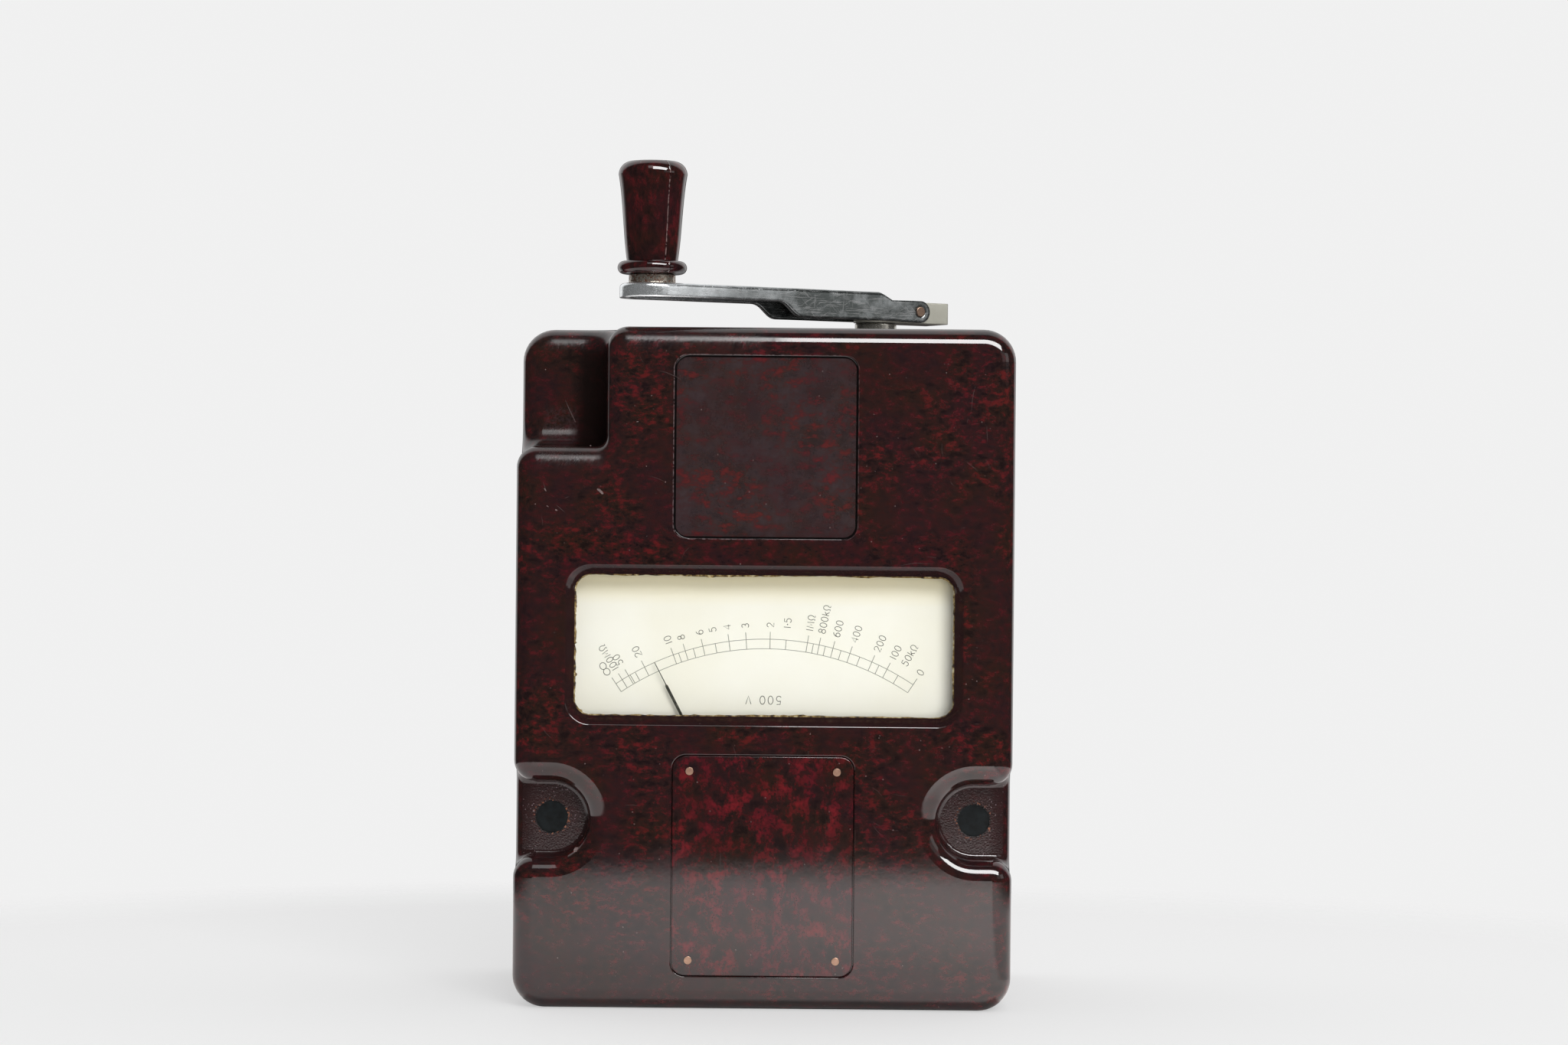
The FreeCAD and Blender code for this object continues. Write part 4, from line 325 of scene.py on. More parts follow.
def bakeliteSkin(tree, place, look):
    # a pressed, glassy skin: faint orange peel, rubbed cloudy where it has been handled, hairline scratches
    peel = addNode(tree, "TexNoise", {"Vector": place, "Scale": perMm(look["peelMm"]), "Detail": 2.0})
    bump = addNode(tree, "Bump", {"Height": peel.outputs["Fac"], "Distance": look["peel"] * mm, "Strength": 1.0})
    smudge = addNode(tree, "TexNoise", {"Vector": place, "Scale": perMm(22.0), "Detail": 5.0, "Roughness": 0.6})
    rubbed = addNode(tree, "MapRange", {"Value": smudge.outputs["Fac"], "From Min": 0.35, "From Max": 0.75,
                                        "To Min": look["roughness"], "To Max": look["roughness"] + 0.035})
    turned = addNode(tree, "Mapping", {"Vector": place, "Rotation": (0.5, 0.6, 0.9), "Scale": (1.0, 1.0, 0.03)})
    hair = addNode(tree, "TexNoise", {"Vector": turned.outputs[0], "Scale": perMm(0.5), "Detail": 1.0})
    lines = addNode(tree, "MapRange", {"Value": hair.outputs["Fac"], "From Min": 0.70, "From Max": 0.78,
                                       "To Max": 0.05})
    rough = addNode(tree, "Math", {0: rubbed.outputs[0], 1: lines.outputs[0]}, operation="ADD")
    return rough.outputs[0], bump.outputs["Normal"]


def pressedBakelite(name, look):
    # Bakelite (phenolic) moulding, hot-pressed in a polished die: deep brown-black with crimson flakes under gloss
    material, tree, shader, place = startMaterial(name, IOR=1.6)
    tone, _ = mottle(tree, place, look)
    rough, normal = bakeliteSkin(tree, place, look)
    tree.links.new(tone, shader.inputs["Base Color"])
    tree.links.new(rough, shader.inputs["Roughness"])
    tree.links.new(normal, shader.inputs["Normal"])
    return material


rivetCountersinkShade = {"middle": (0.0, 0.0, 43.3), "spread": (22.1, 0.0, 28.35), "radius": 1.2, "wide": 0.28, "tone": "#0b0707"}


def rivetedPlate(name, look, countersinkShade):
    # Crimson Bakelite sheet riveted into the case: the same mottle, denser, with painted shade in a dark ring round
    # each rivet
    material, tree, shader, place = startMaterial(name, IOR=1.6)
    tone, _ = mottle(tree, place, look)
    rough, normal = bakeliteSkin(tree, place, look)
    middle = tuple(c * mm for c in countersinkShade["middle"])
    spread = tuple(c * mm for c in countersinkShade["spread"])
    away = addNode(tree, "VectorMath", {0: place, 1: middle}, operation="SUBTRACT")
    away = addNode(tree, "VectorMath", {0: away.outputs[0]}, operation="ABSOLUTE")
    away = addNode(tree, "VectorMath", {0: away.outputs[0], 1: spread}, operation="SUBTRACT")
    flat = addNode(tree, "VectorMath", {0: away.outputs[0], 1: (1.0, 0.0, 1.0)}, operation="MULTIPLY")
    ring = addNode(tree, "VectorMath", {0: flat.outputs[0]}, operation="LENGTH")
    # painted shade: a near-black ring round each rivet, the shade of its countersink
    darkMark = addNode(tree, "MapRange", {"Value": ring.outputs["Value"], "From Max": countersinkShade["radius"] * mm,
                                      "From Min": (countersinkShade["radius"] + countersinkShade["wide"]) * mm})
    tone = mixTones(tree, darkMark.outputs[0], tone, linear(countersinkShade["tone"]))
    tree.links.new(tone, shader.inputs["Base Color"])
    tree.links.new(rough, shader.inputs["Roughness"])
    tree.links.new(normal, shader.inputs["Normal"])
    return material


frontFaces = {
    "panelLow": (-26.85, 142.1), "panelHigh": (26.85, 195.7), "panelCorner": 3.4, "panelTone": "#413336",
    "wallShadowWide": 0.65, "wallShadowTone": "#080606", "rimWide": 0.95, "rimTone": "#6d5f61",
    "bevelLow": (-61.0, -56.0, 127.5), "bevelHigh": (61.0, -50.0, 140.0), "bevelDish": 0.30, "bevelGloss": 0.27,
    "coveLow": (-55.8, -48.5, 165.5), "coveHigh": (-43.0, -27.5, 197.0), "coveShadeTone": "#181110",
    "ledgeLow": (-57.5, -48.5, 168.0), "ledgeHigh": (-43.0, -26.0, 180.0),
    "lipLow": (-62.5, -54.6, 82.0), "lipHigh": (62.5, -42.0, 136.5), "lipTone": "#281a1b", "lipSmooth": 0.75,
    "rubbedSheenLow": (-67.0, -31.0, 171.0), "rubbedSheenHigh": (-59.0, -20.0, 180.0), "rubbedSheenTone": "#453539",
    "wornEdges": (((-42.0, -56.0, 198.5), (-2.0, -49.0, 206.0)), ((-68.0, -56.0, 163.0), (-50.0, -49.0, 169.5)),
                  ((-70.0, -44.0, 168.0), (-48.0, -24.0, 173.0)), ((-70.0, -40.0, 199.0), (-50.0, -26.0, 205.0))),
    "recessLow": (52.4, 41.5, 45.4), "recessHigh": (76.0, 43.6, 68.0), "recessTone": "#2a1919",
    "speckTone": "#85757a", "sealPlace": (63.8, 0.0, 56.7), "sealRadius": 4.8,
}


def caseMoulding(name, look, faces):
    # The same moulding, with the floors the die left dull: the sunk title panel and the two side recesses
    # painted in as well: shadow round the title panel and the seals, shade in the pocket's cove, a grey reflection on
    # the pocket floor
    material, tree, shader, place = startMaterial(name, IOR=1.6)
    tone, flakes = mottle(tree, place, look)
    rough, normal = bakeliteSkin(tree, place, look)
    front = addNode(tree, "SeparateXYZ", {0: place})
    front = addNode(tree, "Math", {0: front.outputs[1], 1: -0.050}, operation="LESS_THAN")
    panel = insideFrame(tree, place, faces["panelLow"], faces["panelHigh"], faces["panelCorner"], 0.2)
    panel = addNode(tree, "Math", {0: panel, 1: front.outputs[0]}, operation="MULTIPLY").outputs[0]
    mirrored = addNode(tree, "VectorMath", {0: place}, operation="ABSOLUTE").outputs[0]
    recess = insideBox(tree, mirrored, faces["recessLow"], faces["recessHigh"], 0.3)
    grain = addNode(tree, "TexNoise", {"Vector": place, "Scale": perMm(0.45), "Detail": 3.0})
    panelMix = addNode(tree, "MapRange", {"Value": flakes, "From Min": 0.4, "From Max": 0.7,
                                          "To Min": 0.50, "To Max": 0.02})
    handled = addNode(tree, "TexNoise", {"Vector": place, "Scale": perMm(11.0), "Detail": 6.0, "Roughness": 0.75})
    handled = addNode(tree, "MapRange", {"Value": handled.outputs["Fac"], "From Min": 0.38, "From Max": 0.62,
                                         "To Min": 0.30, "To Max": 1.1})
    panelMix = addNode(tree, "Math", {0: panelMix.outputs[0], 1: handled.outputs[0]}, operation="MULTIPLY")
    panelAmount = addNode(tree, "Math", {0: panel, 1: panelMix.outputs[0]}, operation="MULTIPLY")
    tone = mixTones(tree, panelAmount.outputs[0], tone, linear(faces["panelTone"]))
    frames = []
    for wide in (faces["wallShadowWide"], faces["rimWide"]):
        rim = insideFrame(tree, place, [v - wide for v in faces["panelLow"]], [v + wide for v in faces["panelHigh"]],
                          faces["panelCorner"] + wide, 0.12)
        frames.append(addNode(tree, "Math", {0: rim, 1: front.outputs[0]}, operation="MULTIPLY").outputs[0])
    # painted shadow: a thin near-black band along the edge of the title panel, the shade of its wall
    wall = addNode(tree, "Math", {0: frames[0], 1: panel}, operation="SUBTRACT", use_clamp=True)
    crust = addNode(tree, "TexNoise", {"Vector": place, "Scale": perMm(0.8), "Detail": 4.0, "Roughness": 0.7})
    crusty = addNode(tree, "MapRange", {"Value": crust.outputs["Fac"], "From Min": 0.42, "From Max": 0.62,
                                        "To Max": 0.95})
    aside = addNode(tree, "SeparateXYZ", {0: place})
    aside = addNode(tree, "MapRange", {"Value": aside.outputs[0], "From Min": -0.026, "From Max": 0.026,
                                       "To Min": 1.0, "To Max": 0.3})
    border = addNode(tree, "Math", {0: frames[1], 1: frames[0]}, operation="SUBTRACT", use_clamp=True)
    border = addNode(tree, "Math", {0: border.outputs[0], 1: crusty.outputs[0]}, operation="MULTIPLY")
    border = addNode(tree, "Math", {0: border.outputs[0], 1: aside.outputs[0]}, operation="MULTIPLY")
    tone = mixTones(tree, border.outputs[0], tone, linear(faces["rimTone"]))
    tone = mixTones(tree, wall.outputs[0], tone, linear(faces["wallShadowTone"]))
    lip = insideBox(tree, place, faces["lipLow"], faces["lipHigh"], 0.4)
    lipAmount = addNode(tree, "Math", {0: lip, 1: faces["lipSmooth"]}, operation="MULTIPLY")
    tone = mixTones(tree, lipAmount.outputs[0], tone, linear(faces["lipTone"]))
    # painted shade: the pocket's cove and right-hand wall are darkened in the colour, where the wall keeps the light
    # off; the same box dims the gloss there
    coveShade = insideBox(tree, place, faces["coveLow"], faces["coveHigh"], 4.5)
    shaded = addNode(tree, "Math", {0: coveShade, 1: 0.92}, operation="MULTIPLY")
    tone = mixTones(tree, shaded.outputs[0], tone, linear(faces["coveShadeTone"]))
    # rubbed patch low on the pocket floor, greyed partly as wear and partly as a painted reflection
    wearAndSheen = insideBox(tree, place, faces["rubbedSheenLow"], faces["rubbedSheenHigh"], 2.0)
    rubbedSheen = addNode(tree, "Math", {0: wearAndSheen, 1: crusty.outputs[0]}, operation="MULTIPLY")
    rubbedSheen = addNode(tree, "Math", {0: rubbedSheen.outputs[0], 1: 0.35}, operation="MULTIPLY")
    tone = mixTones(tree, rubbedSheen.outputs[0], tone, linear(faces["rubbedSheenTone"]))
    recessAmount = addNode(tree, "Math", {0: recess, 1: 0.8}, operation="MULTIPLY")
    tone = mixTones(tree, recessAmount.outputs[0], tone, linear(faces["recessTone"]))
    specks = addNode(tree, "TexVoronoi", {"Vector": place, "Scale": perMm(0.9), "Randomness": 1.0})
    dots = addNode(tree, "MapRange", {"Value": specks.outputs["Distance"], "From Min": 0.22, "From Max": 0.10})
    patches = addNode(tree, "TexNoise", {"Vector": place, "Scale": perMm(5.0), "Detail": 2.0})
    thick = addNode(tree, "MapRange", {"Value": patches.outputs["Fac"], "From Min": 0.45, "From Max": 0.65})
    scatter = addNode(tree, "Math", {0: dots.outputs[0], 1: thick.outputs[0]}, operation="MULTIPLY")
    scatter = addNode(tree, "Math", {0: scatter.outputs[0], 1: recess}, operation="MULTIPLY")
    tone = mixTones(tree, scatter.outputs[0], tone, linear(faces["speckTone"]))
    centre = tuple(c * mm for c in faces["sealPlace"])
    fromSeal = addNode(tree, "VectorMath", {0: mirrored, 1: centre}, operation="SUBTRACT")
    flat = addNode(tree, "VectorMath", {0: fromSeal.outputs[0], 1: (1.0, 0.0, 1.0)}, operation="MULTIPLY")
    ring = addNode(tree, "VectorMath", {0: flat.outputs[0]}, operation="LENGTH")
    edge = addNode(tree, "MapRange", {"Value": ring.outputs["Value"], "From Min": (faces["sealRadius"] + 0.5) * mm,
                                      "From Max": (faces["sealRadius"] + 0.1) * mm})
    # painted shadow: a near-black ring just round each seal, the shade in the gap of its counterbore
    darkMark = addNode(tree, "Math", {0: edge.outputs[0], 1: recess}, operation="MULTIPLY")
    tone = mixTones(tree, darkMark.outputs[0], tone, linear("#0d0b0b"))
    near = addNode(tree, "MapRange", {"Value": ring.outputs["Value"], "From Min": (faces["sealRadius"] + 1.3) * mm,
                                      "From Max": (faces["sealRadius"] + 0.5) * mm})
    rusty = addNode(tree, "TexNoise", {"Vector": place, "Scale": perMm(0.7), "Detail": 2.0})
    spots = addNode(tree, "MapRange", {"Value": rusty.outputs["Fac"], "From Min": 0.60, "From Max": 0.66})
    spots = addNode(tree, "Math", {0: spots.outputs[0], 1: near.outputs[0]}, operation="MULTIPLY")
    spots = addNode(tree, "Math", {0: spots.outputs[0], 1: recess}, operation="MULTIPLY")
    tone = mixTones(tree, spots.outputs[0], tone, linear("#80503c"))
    dull = addNode(tree, "Math", {0: panel, 1: recess}, operation="MAXIMUM")
    roughness = mixNumbers(tree, panel, rough, 0.22)
    roughness = mixNumbers(tree, recess, roughness, 0.13)
    dim = mixNumbers(tree, shaded.outputs[0], 0.5, 0.0)
    ledge = insideBox(tree, place, faces["ledgeLow"], faces["ledgeHigh"], 3.0)
    dim = mixNumbers(tree, ledge, dim, 0.0)
    streaked = addNode(tree, "Mapping", {"Vector": place, "Rotation": (0.0, 1.1, 0.0)})
    streaked = addNode(tree, "Mapping", {"Vector": streaked.outputs[0], "Scale": (0.08, 1.0, 1.0)})
    streaks = addNode(tree, "TexNoise", {"Vector": streaked.outputs[0], "Scale": perMm(0.3), "Detail": 2.0})
    fine = addNode(tree, "MapRange", {"Value": streaks.outputs["Fac"], "From Min": 0.40, "From Max": 0.60,
                                      "To Min": 0.08, "To Max": 0.20})
    for low, high in faces["wornEdges"]:
        rubbed = insideBox(tree, place, low, high, 3.0)
        extra = addNode(tree, "Math", {0: rubbed, 1: fine.outputs[0]}, operation="MULTIPLY")
        roughness = addNode(tree, "Math", {0: roughness, 1: extra.outputs[0]}, operation="ADD").outputs[0]
    coarse = addNode(tree, "Math", {0: dull.outputs[0], 1: grain.outputs["Fac"]}, operation="MULTIPLY")
    window = insideBox(tree, place, faces["bevelLow"], faces["bevelHigh"], 5.0)
    inward = addNode(tree, "SeparateXYZ", {0: place})
    inward = addNode(tree, "MapRange", {"Value": inward.outputs[1], "From Min": -0.0570, "From Max": -0.0525},
                     interpolation_type="SMOOTHSTEP")
    dished = addNode(tree, "Math", {0: inward.outputs[0], 1: window}, operation="MULTIPLY")
    dish = addNode(tree, "Bump", {"Height": dished.outputs[0], "Distance": faces["bevelDish"] * mm, "Normal": normal})
    tooth = addNode(tree, "Bump", {"Height": coarse.outputs[0], "Distance": 0.03 * mm,
                                   "Normal": dish.outputs["Normal"]})
    dim = mixNumbers(tree, window, dim, faces["bevelGloss"])
    tree.links.new(dim, shader.inputs["Specular IOR Level"])
    tree.links.new(tone, shader.inputs["Base Color"])
    tree.links.new(roughness, shader.inputs["Roughness"])
    tree.links.new(tooth.outputs["Normal"], shader.inputs["Normal"])
    return material


gripSeam = {"axis": (-34.99, -43.6), "azimuth": -58.0, "width": 0.10}


def seamedGrip(name, look, seam):
    # Bakelite grip pressed in a split die: richer flakes, higher gloss, and the line where the die halves met
    material, tree, shader, place = startMaterial(name, IOR=1.6)
    tone, _ = mottle(tree, place, look)
    rough, normal = bakeliteSkin(tree, place, look)
    turn = math.radians(seam["azimuth"])
    centre = (seam["axis"][0] * mm, seam["axis"][1] * mm, 0.0)
    fromAxis = addNode(tree, "VectorMath", {0: place, 1: centre}, operation="SUBTRACT")
    across = addNode(tree, "VectorMath", {0: fromAxis.outputs[0], 1: (-math.sin(turn), math.cos(turn), 0.0)},
                     operation="DOT_PRODUCT")
    aside = addNode(tree, "Math", {0: across.outputs["Value"]}, operation="ABSOLUTE")
    line = addNode(tree, "MapRange", {"Value": aside.outputs[0], "From Min": 2.5 * seam["width"] * mm,
                                      "From Max": 0.6 * seam["width"] * mm})
    broken = addNode(tree, "TexNoise", {"Vector": place, "Scale": perMm(1.1), "Detail": 2.0})
    seam = addNode(tree, "ValToRGB", {0: broken.outputs["Fac"]},
                   stops=[(0.42, linear("#150909")), (0.58, linear("#7a6563"))])
    tone = mixTones(tree, line.outputs[0], tone, seam.outputs[0])
    ridge = addNode(tree, "Bump", {"Height": line.outputs[0], "Distance": 0.08 * mm, "Normal": normal})
    tree.links.new(tone, shader.inputs["Base Color"])
    tree.links.new(rough, shader.inputs["Roughness"])
    tree.links.new(ridge.outputs["Normal"], shader.inputs["Normal"])
    return material


print("stage: Bakelite materials ready")


# Metals
def platedMetal(name, look):
    # Nickel-plated steel, polished then worn: bright, with hairlines both ways, milky tarnish and rust freckles
    material, tree, shader, place = startMaterial(name, Metallic=look["metallic"])
    turned = addNode(tree, "Mapping", {"Vector": place, "Rotation": (0.0, 0.0, -math.radians(look["along"]))})
    cloud = addNode(tree, "TexNoise", {"Vector": place, "Scale": perMm(7.0), "Detail": 4.0, "Roughness": 0.6})
    run = addNode(tree, "SeparateXYZ", {0: turned.outputs[0]})
    # partly wear, partly painted sheen: the colour runs bright at the grip end of the arm and dull towards the hub
    near, far = look["fade"]
    wearAndSheen = addNode(tree, "MapRange", {"Value": run.outputs[0], "From Min": near * mm, "From Max": far * mm,
                                      "To Min": 0.60, "To Max": 0.13})
    blend = addNode(tree, "Math", {0: cloud.outputs["Fac"], 1: 0.5, 2: wearAndSheen.outputs[0]},
                    operation="MULTIPLY_ADD")
    tones = addNode(tree, "ValToRGB", {0: blend.outputs[0]},
                    stops=[(0.36, linear(look["dull"])), (0.78, linear(look["bright"]))])
    height = None
    for tilt, width, thin in ((0.0, 0.30, 0.56), (0.5, 0.36, 0.64), (-0.8, 0.40, 0.66), (1.5, 0.34, 0.67)):
        leant = addNode(tree, "Mapping", {"Vector": turned.outputs[0], "Rotation": (0.0, tilt, 0.0)})
        drawn = addNode(tree, "Mapping", {"Vector": leant.outputs[0], "Scale": (0.05, 1.0, 1.0)})
        hairs = addNode(tree, "TexNoise", {"Vector": drawn.outputs[0], "Scale": perMm(width), "Detail": 1.0,
                                           "Distortion": 0.7})
        lines = addNode(tree, "MapRange", {"Value": hairs.outputs["Fac"], "From Min": thin, "From Max": thin + 0.08})
        if height is None:
            height = lines.outputs[0]
        else:
            height = addNode(tree, "Math", {0: height, 1: lines.outputs[0]}, operation="MAXIMUM").outputs[0]
    freckle = addNode(tree, "TexNoise", {"Vector": place, "Scale": perMm(0.8), "Detail": 4.0, "Roughness": 0.7})
    spread = addNode(tree, "Math", {0: cloud.outputs["Fac"], 1: 0.35, 2: freckle.outputs["Fac"]},
                     operation="MULTIPLY_ADD")
    rust = addNode(tree, "MapRange", {"Value": spread.outputs[0], "From Min": look["rustFrom"],
                                      "From Max": look["rustFrom"] + 0.05})
    pale = tuple(min(1.0, c * 1.35) for c in linear(look["bright"])[:3]) + (1.0,)
    streaks = addNode(tree, "Math", {0: height, 1: look["streaks"]}, operation="MULTIPLY")
    tone = mixTones(tree, streaks.outputs[0], tones.outputs[0], pale)
    tone = mixTones(tree, rust.outputs[0], tone, linear(look["rust"]))
    low, high = look["roughness"]
    rough = mixNumbers(tree, height, low, high)
    rough = mixNumbers(tree, rust.outputs[0], rough, 0.7)
    soft = addNode(tree, "Bevel", {"Radius": look["edge"] * mm}, samples=16)
    wavy = addNode(tree, "TexNoise", {"Vector": place, "Scale": perMm(11.0), "Detail": 2.0})
    sheet = addNode(tree, "Bump", {"Height": wavy.outputs["Fac"], "Distance": look["wave"] * mm,
                                   "Normal": soft.outputs["Normal"]})
    bump = addNode(tree, "Bump", {"Height": height, "Distance": -look["hair"] * mm, "Normal": sheet.outputs["Normal"]})
    tree.links.new(tone, shader.inputs["Base Color"])
    tree.links.new(rough, shader.inputs["Roughness"])
    tree.links.new(bump.outputs["Normal"], shader.inputs["Normal"])
    return material


armPlate = {"bright": "#eef2f4", "dull": "#575b5a", "rust": "#5b4636", "rustFrom": 0.86, "along": 30.0,
            "fade": (-62.0, -8.0), "metallic": 0.85, "roughness": (0.17, 0.30), "edge": 1.1, "wave": 0.03, "hair": 0.0025,
            "streaks": 0.22}
blockPlate = dict(armPlate, bright="#d8d7cb", dull="#c0beb1", rustFrom=0.98, roughness=(0.30, 0.36), wave=0.02,
                  metallic=0.55, edge=0.6, hair=0.0005, streaks=0.05)
collarPlate = dict(armPlate, bright="#d2cfc8", dull="#a9a59b", rustFrom=0.86, roughness=(0.16, 0.3), wave=0.1,
                   edge=0.6)
washerPlate = dict(armPlate, bright="#a9a196", dull="#7b6b58", rust="#6a4434", rustFrom=0.68,
                   roughness=(0.24, 0.42), wave=0.1, edge=0.4)


def castMetal(name, look):
    # Plain engineering metal, cast or turned: one tone with mill marks, a little grease and uneven oxide
    material, tree, shader, place = startMaterial(name, Metallic=look["metallic"])
    cloud = addNode(tree, "TexNoise", {"Vector": place, "Scale": perMm(6.0), "Detail": 5.0, "Roughness": 0.65})
    tones = addNode(tree, "ValToRGB", {0: cloud.outputs["Fac"]},
                    stops=[(0.3, linear(look["dark"])), (0.7, linear(look["light"]))])
    grain = addNode(tree, "TexNoise", {"Vector": place, "Scale": perMm(look["grainMm"]), "Detail": 3.0})
    low, high = look["roughness"]
    rough = addNode(tree, "MapRange", {"Value": grain.outputs["Fac"], "From Min": 0.3, "From Max": 0.7,
                                       "To Min": low, "To Max": high})
    bump = addNode(tree, "Bump", {"Height": grain.outputs["Fac"], "Distance": look["tooth"] * mm})
    tree.links.new(tones.outputs[0], shader.inputs["Base Color"])
    tree.links.new(rough.outputs[0], shader.inputs["Roughness"])
    tree.links.new(bump.outputs["Normal"], shader.inputs["Normal"])
    return material


turnedSteel = {"dark": "#80817f", "light": "#a3a5a6", "grainMm": 0.3, "tooth": 0.006, "roughness": (0.25, 0.4),
               "metallic": 1.0}
sandCastIron = {"dark": "#2a2826", "light": "#454341", "grainMm": 0.7, "tooth": 0.05, "roughness": (0.5, 0.7),
                "metallic": 0.7}
lacqueredBrass = {"dark": "#9a7440", "light": "#c79c58", "grainMm": 0.35, "tooth": 0.006,
                  "roughness": (0.22, 0.36), "metallic": 1.0}
pinBronze = {"dark": "#7d685a", "light": "#a88c79", "grainMm": 0.3, "tooth": 0.01, "roughness": (0.3, 0.45),
             "metallic": 1.0}
copperRivet = {"dark": "#927060", "light": "#caa791", "grainMm": 0.25, "tooth": 0.01, "roughness": (0.3, 0.5),
               "metallic": 1.0}


def paintedMagnet(name, look):
    # Cobalt magnet steel under brushed red oxide paint: matt, uneven, bare grey where the paint has chipped
    material, tree, shader, place = startMaterial(name)
    brush = addNode(tree, "Mapping", {"Vector": place, "Scale": (1.0, 1.0, 0.05)})
    strokes = addNode(tree, "TexNoise", {"Vector": brush.outputs[0], "Scale": perMm(0.9), "Detail": 3.0})
    tones = addNode(tree, "ValToRGB", {0: strokes.outputs["Fac"]},
                    stops=[(0.3, linear(look["deep"])), (0.7, linear(look["paint"]))])
    chips = addNode(tree, "TexNoise", {"Vector": place, "Scale": perMm(9.0), "Detail": 6.0, "Roughness": 0.7})
    bare = addNode(tree, "MapRange", {"Value": chips.outputs["Fac"], "From Min": 0.66, "From Max": 0.68})
    tone = mixTones(tree, bare.outputs[0], tones.outputs[0], linear(look["steel"]))
    bump = addNode(tree, "Bump", {"Height": strokes.outputs["Fac"], "Distance": 0.03 * mm})
    rough = mixNumbers(tree, bare.outputs[0], 0.62, 0.4)
    tree.links.new(tone, shader.inputs["Base Color"])
    tree.links.new(rough, shader.inputs["Roughness"])
    tree.links.new(bump.outputs["Normal"], shader.inputs["Normal"])
    return material


magnetPaint = {"paint": "#6d2620", "deep": "#521b17", "steel": "#6f7072"}


def woundWire(name, look):
    # Enamelled copper wire wound in layers: close turns that read as fine glossy ribs
    material, tree, shader, place = startMaterial(name, Metallic=look["metallic"], Coat_Weight=0.6)
    turns = addNode(tree, "TexWave", {"Vector": place, "Scale": perMm(look["pitchMm"]) / 20.0 * 6.2832,
                                      "Distortion": 0.4, "Detail": 1.0},
                    bands_direction=look["axis"], wave_profile="SIN")
    tones = addNode(tree, "ValToRGB", {0: turns.outputs["Fac"]},
                    stops=[(0.0, linear(look["gap"])), (0.6, linear(look["wire"]))])
    bump = addNode(tree, "Bump", {"Height": turns.outputs["Fac"], "Distance": 0.12 * mm})
    cloud = addNode(tree, "TexNoise", {"Vector": place, "Scale": perMm(3.0), "Detail": 3.0})
    rough = addNode(tree, "MapRange", {"Value": cloud.outputs["Fac"], "To Min": 0.25, "To Max": 0.45})
    tree.links.new(tones.outputs[0], shader.inputs["Base Color"])
    tree.links.new(rough.outputs[0], shader.inputs["Roughness"])
    tree.links.new(bump.outputs["Normal"], shader.inputs["Normal"])
    return material


armatureWire = {"wire": "#8a3f1f", "gap": "#2b120a", "pitchMm": 0.5, "axis": "Z", "metallic": 0.6}
bobbinWire = {"wire": "#7b5a2c", "gap": "#2c1f10", "pitchMm": 0.4, "axis": "Y", "metallic": 0.4}
coilWire = {"wire": "#9b4a26", "gap": "#3a190c", "pitchMm": 0.3, "axis": "Y", "metallic": 0.6}
print("stage: metals ready")


# Enamel, fibre, glass and small stuff
def stovedEnamel(name, look):
    # Stoved cream enamel on a metal dial: matt and even, stained towards the rim, a warm shade painted across its top,
    # a few dust specks
    material, tree, shader, place = startMaterial(name, Roughness=0.55)
    cloud = addNode(tree, "TexNoise", {"Vector": place, "Scale": perMm(30.0), "Detail": 4.0})
    tones = addNode(tree, "ValToRGB", {0: cloud.outputs["Fac"]},
                    stops=[(0.35, linear(look["aged"])), (0.65, linear(look["cream"]))])
    specks = addNode(tree, "TexVoronoi", {"Vector": place, "Scale": perMm(11.0)})
    dots = addNode(tree, "MapRange", {"Value": specks.outputs["Distance"], "From Min": 0.020, "From Max": 0.012})
    rim = insideBox(tree, place, look["clearLow"], look["clearHigh"], look["rim"])
    stain = addNode(tree, "TexNoise", {"Vector": place, "Scale": perMm(1.6), "Detail": 5.0, "Roughness": 0.75})
    age = addNode(tree, "Math", {0: 1.0, 1: rim}, operation="SUBTRACT")
    darkMark = addNode(tree, "Math", {0: stain.outputs["Fac"], 1: age.outputs[0], 2: -0.30}, operation="MULTIPLY_ADD")
    dirty = addNode(tree, "MapRange", {"Value": darkMark.outputs[0], "From Min": 0.12, "From Max": 0.45, "To Max": 0.8})
    # painted shade: a warm tint across the top of the dial, the colour of the window's shadow there
    height = addNode(tree, "SeparateXYZ", {0: place})
    upper = addNode(tree, "MapRange", {"Value": height.outputs[2], "From Min": look["warmShadeFrom"] * mm,
                                       "From Max": look["warmShadeTo"] * mm})
    tone = mixTones(tree, upper.outputs[0], tones.outputs[0], linear(look["warmShade"]))
    tone = mixTones(tree, dirty.outputs[0], tone, linear(look["stain"]))
    tone = mixTones(tree, dots.outputs[0], tone, linear(look["speck"]))
    tree.links.new(tone, shader.inputs["Base Color"])
    grain = addNode(tree, "TexNoise", {"Vector": place, "Scale": perMm(0.6), "Detail": 2.0})
    bump = addNode(tree, "Bump", {"Height": grain.outputs["Fac"], "Distance": 0.004 * mm})
    tree.links.new(bump.outputs["Normal"], shader.inputs["Normal"])
    return material


dialEnamel = {"cream": "#faf6f0", "aged": "#f6f1e7", "stain": "#a98f5a", "speck": "#6b6350", "rim": 2.0,
              "warmShade": "#f2e6c8", "warmShadeFrom": 121.0, "warmShadeTo": 128.5,
              "clearLow": (-55.6, -60.0, 89.6), "clearHigh": (55.6, 60.0, 129.2)}


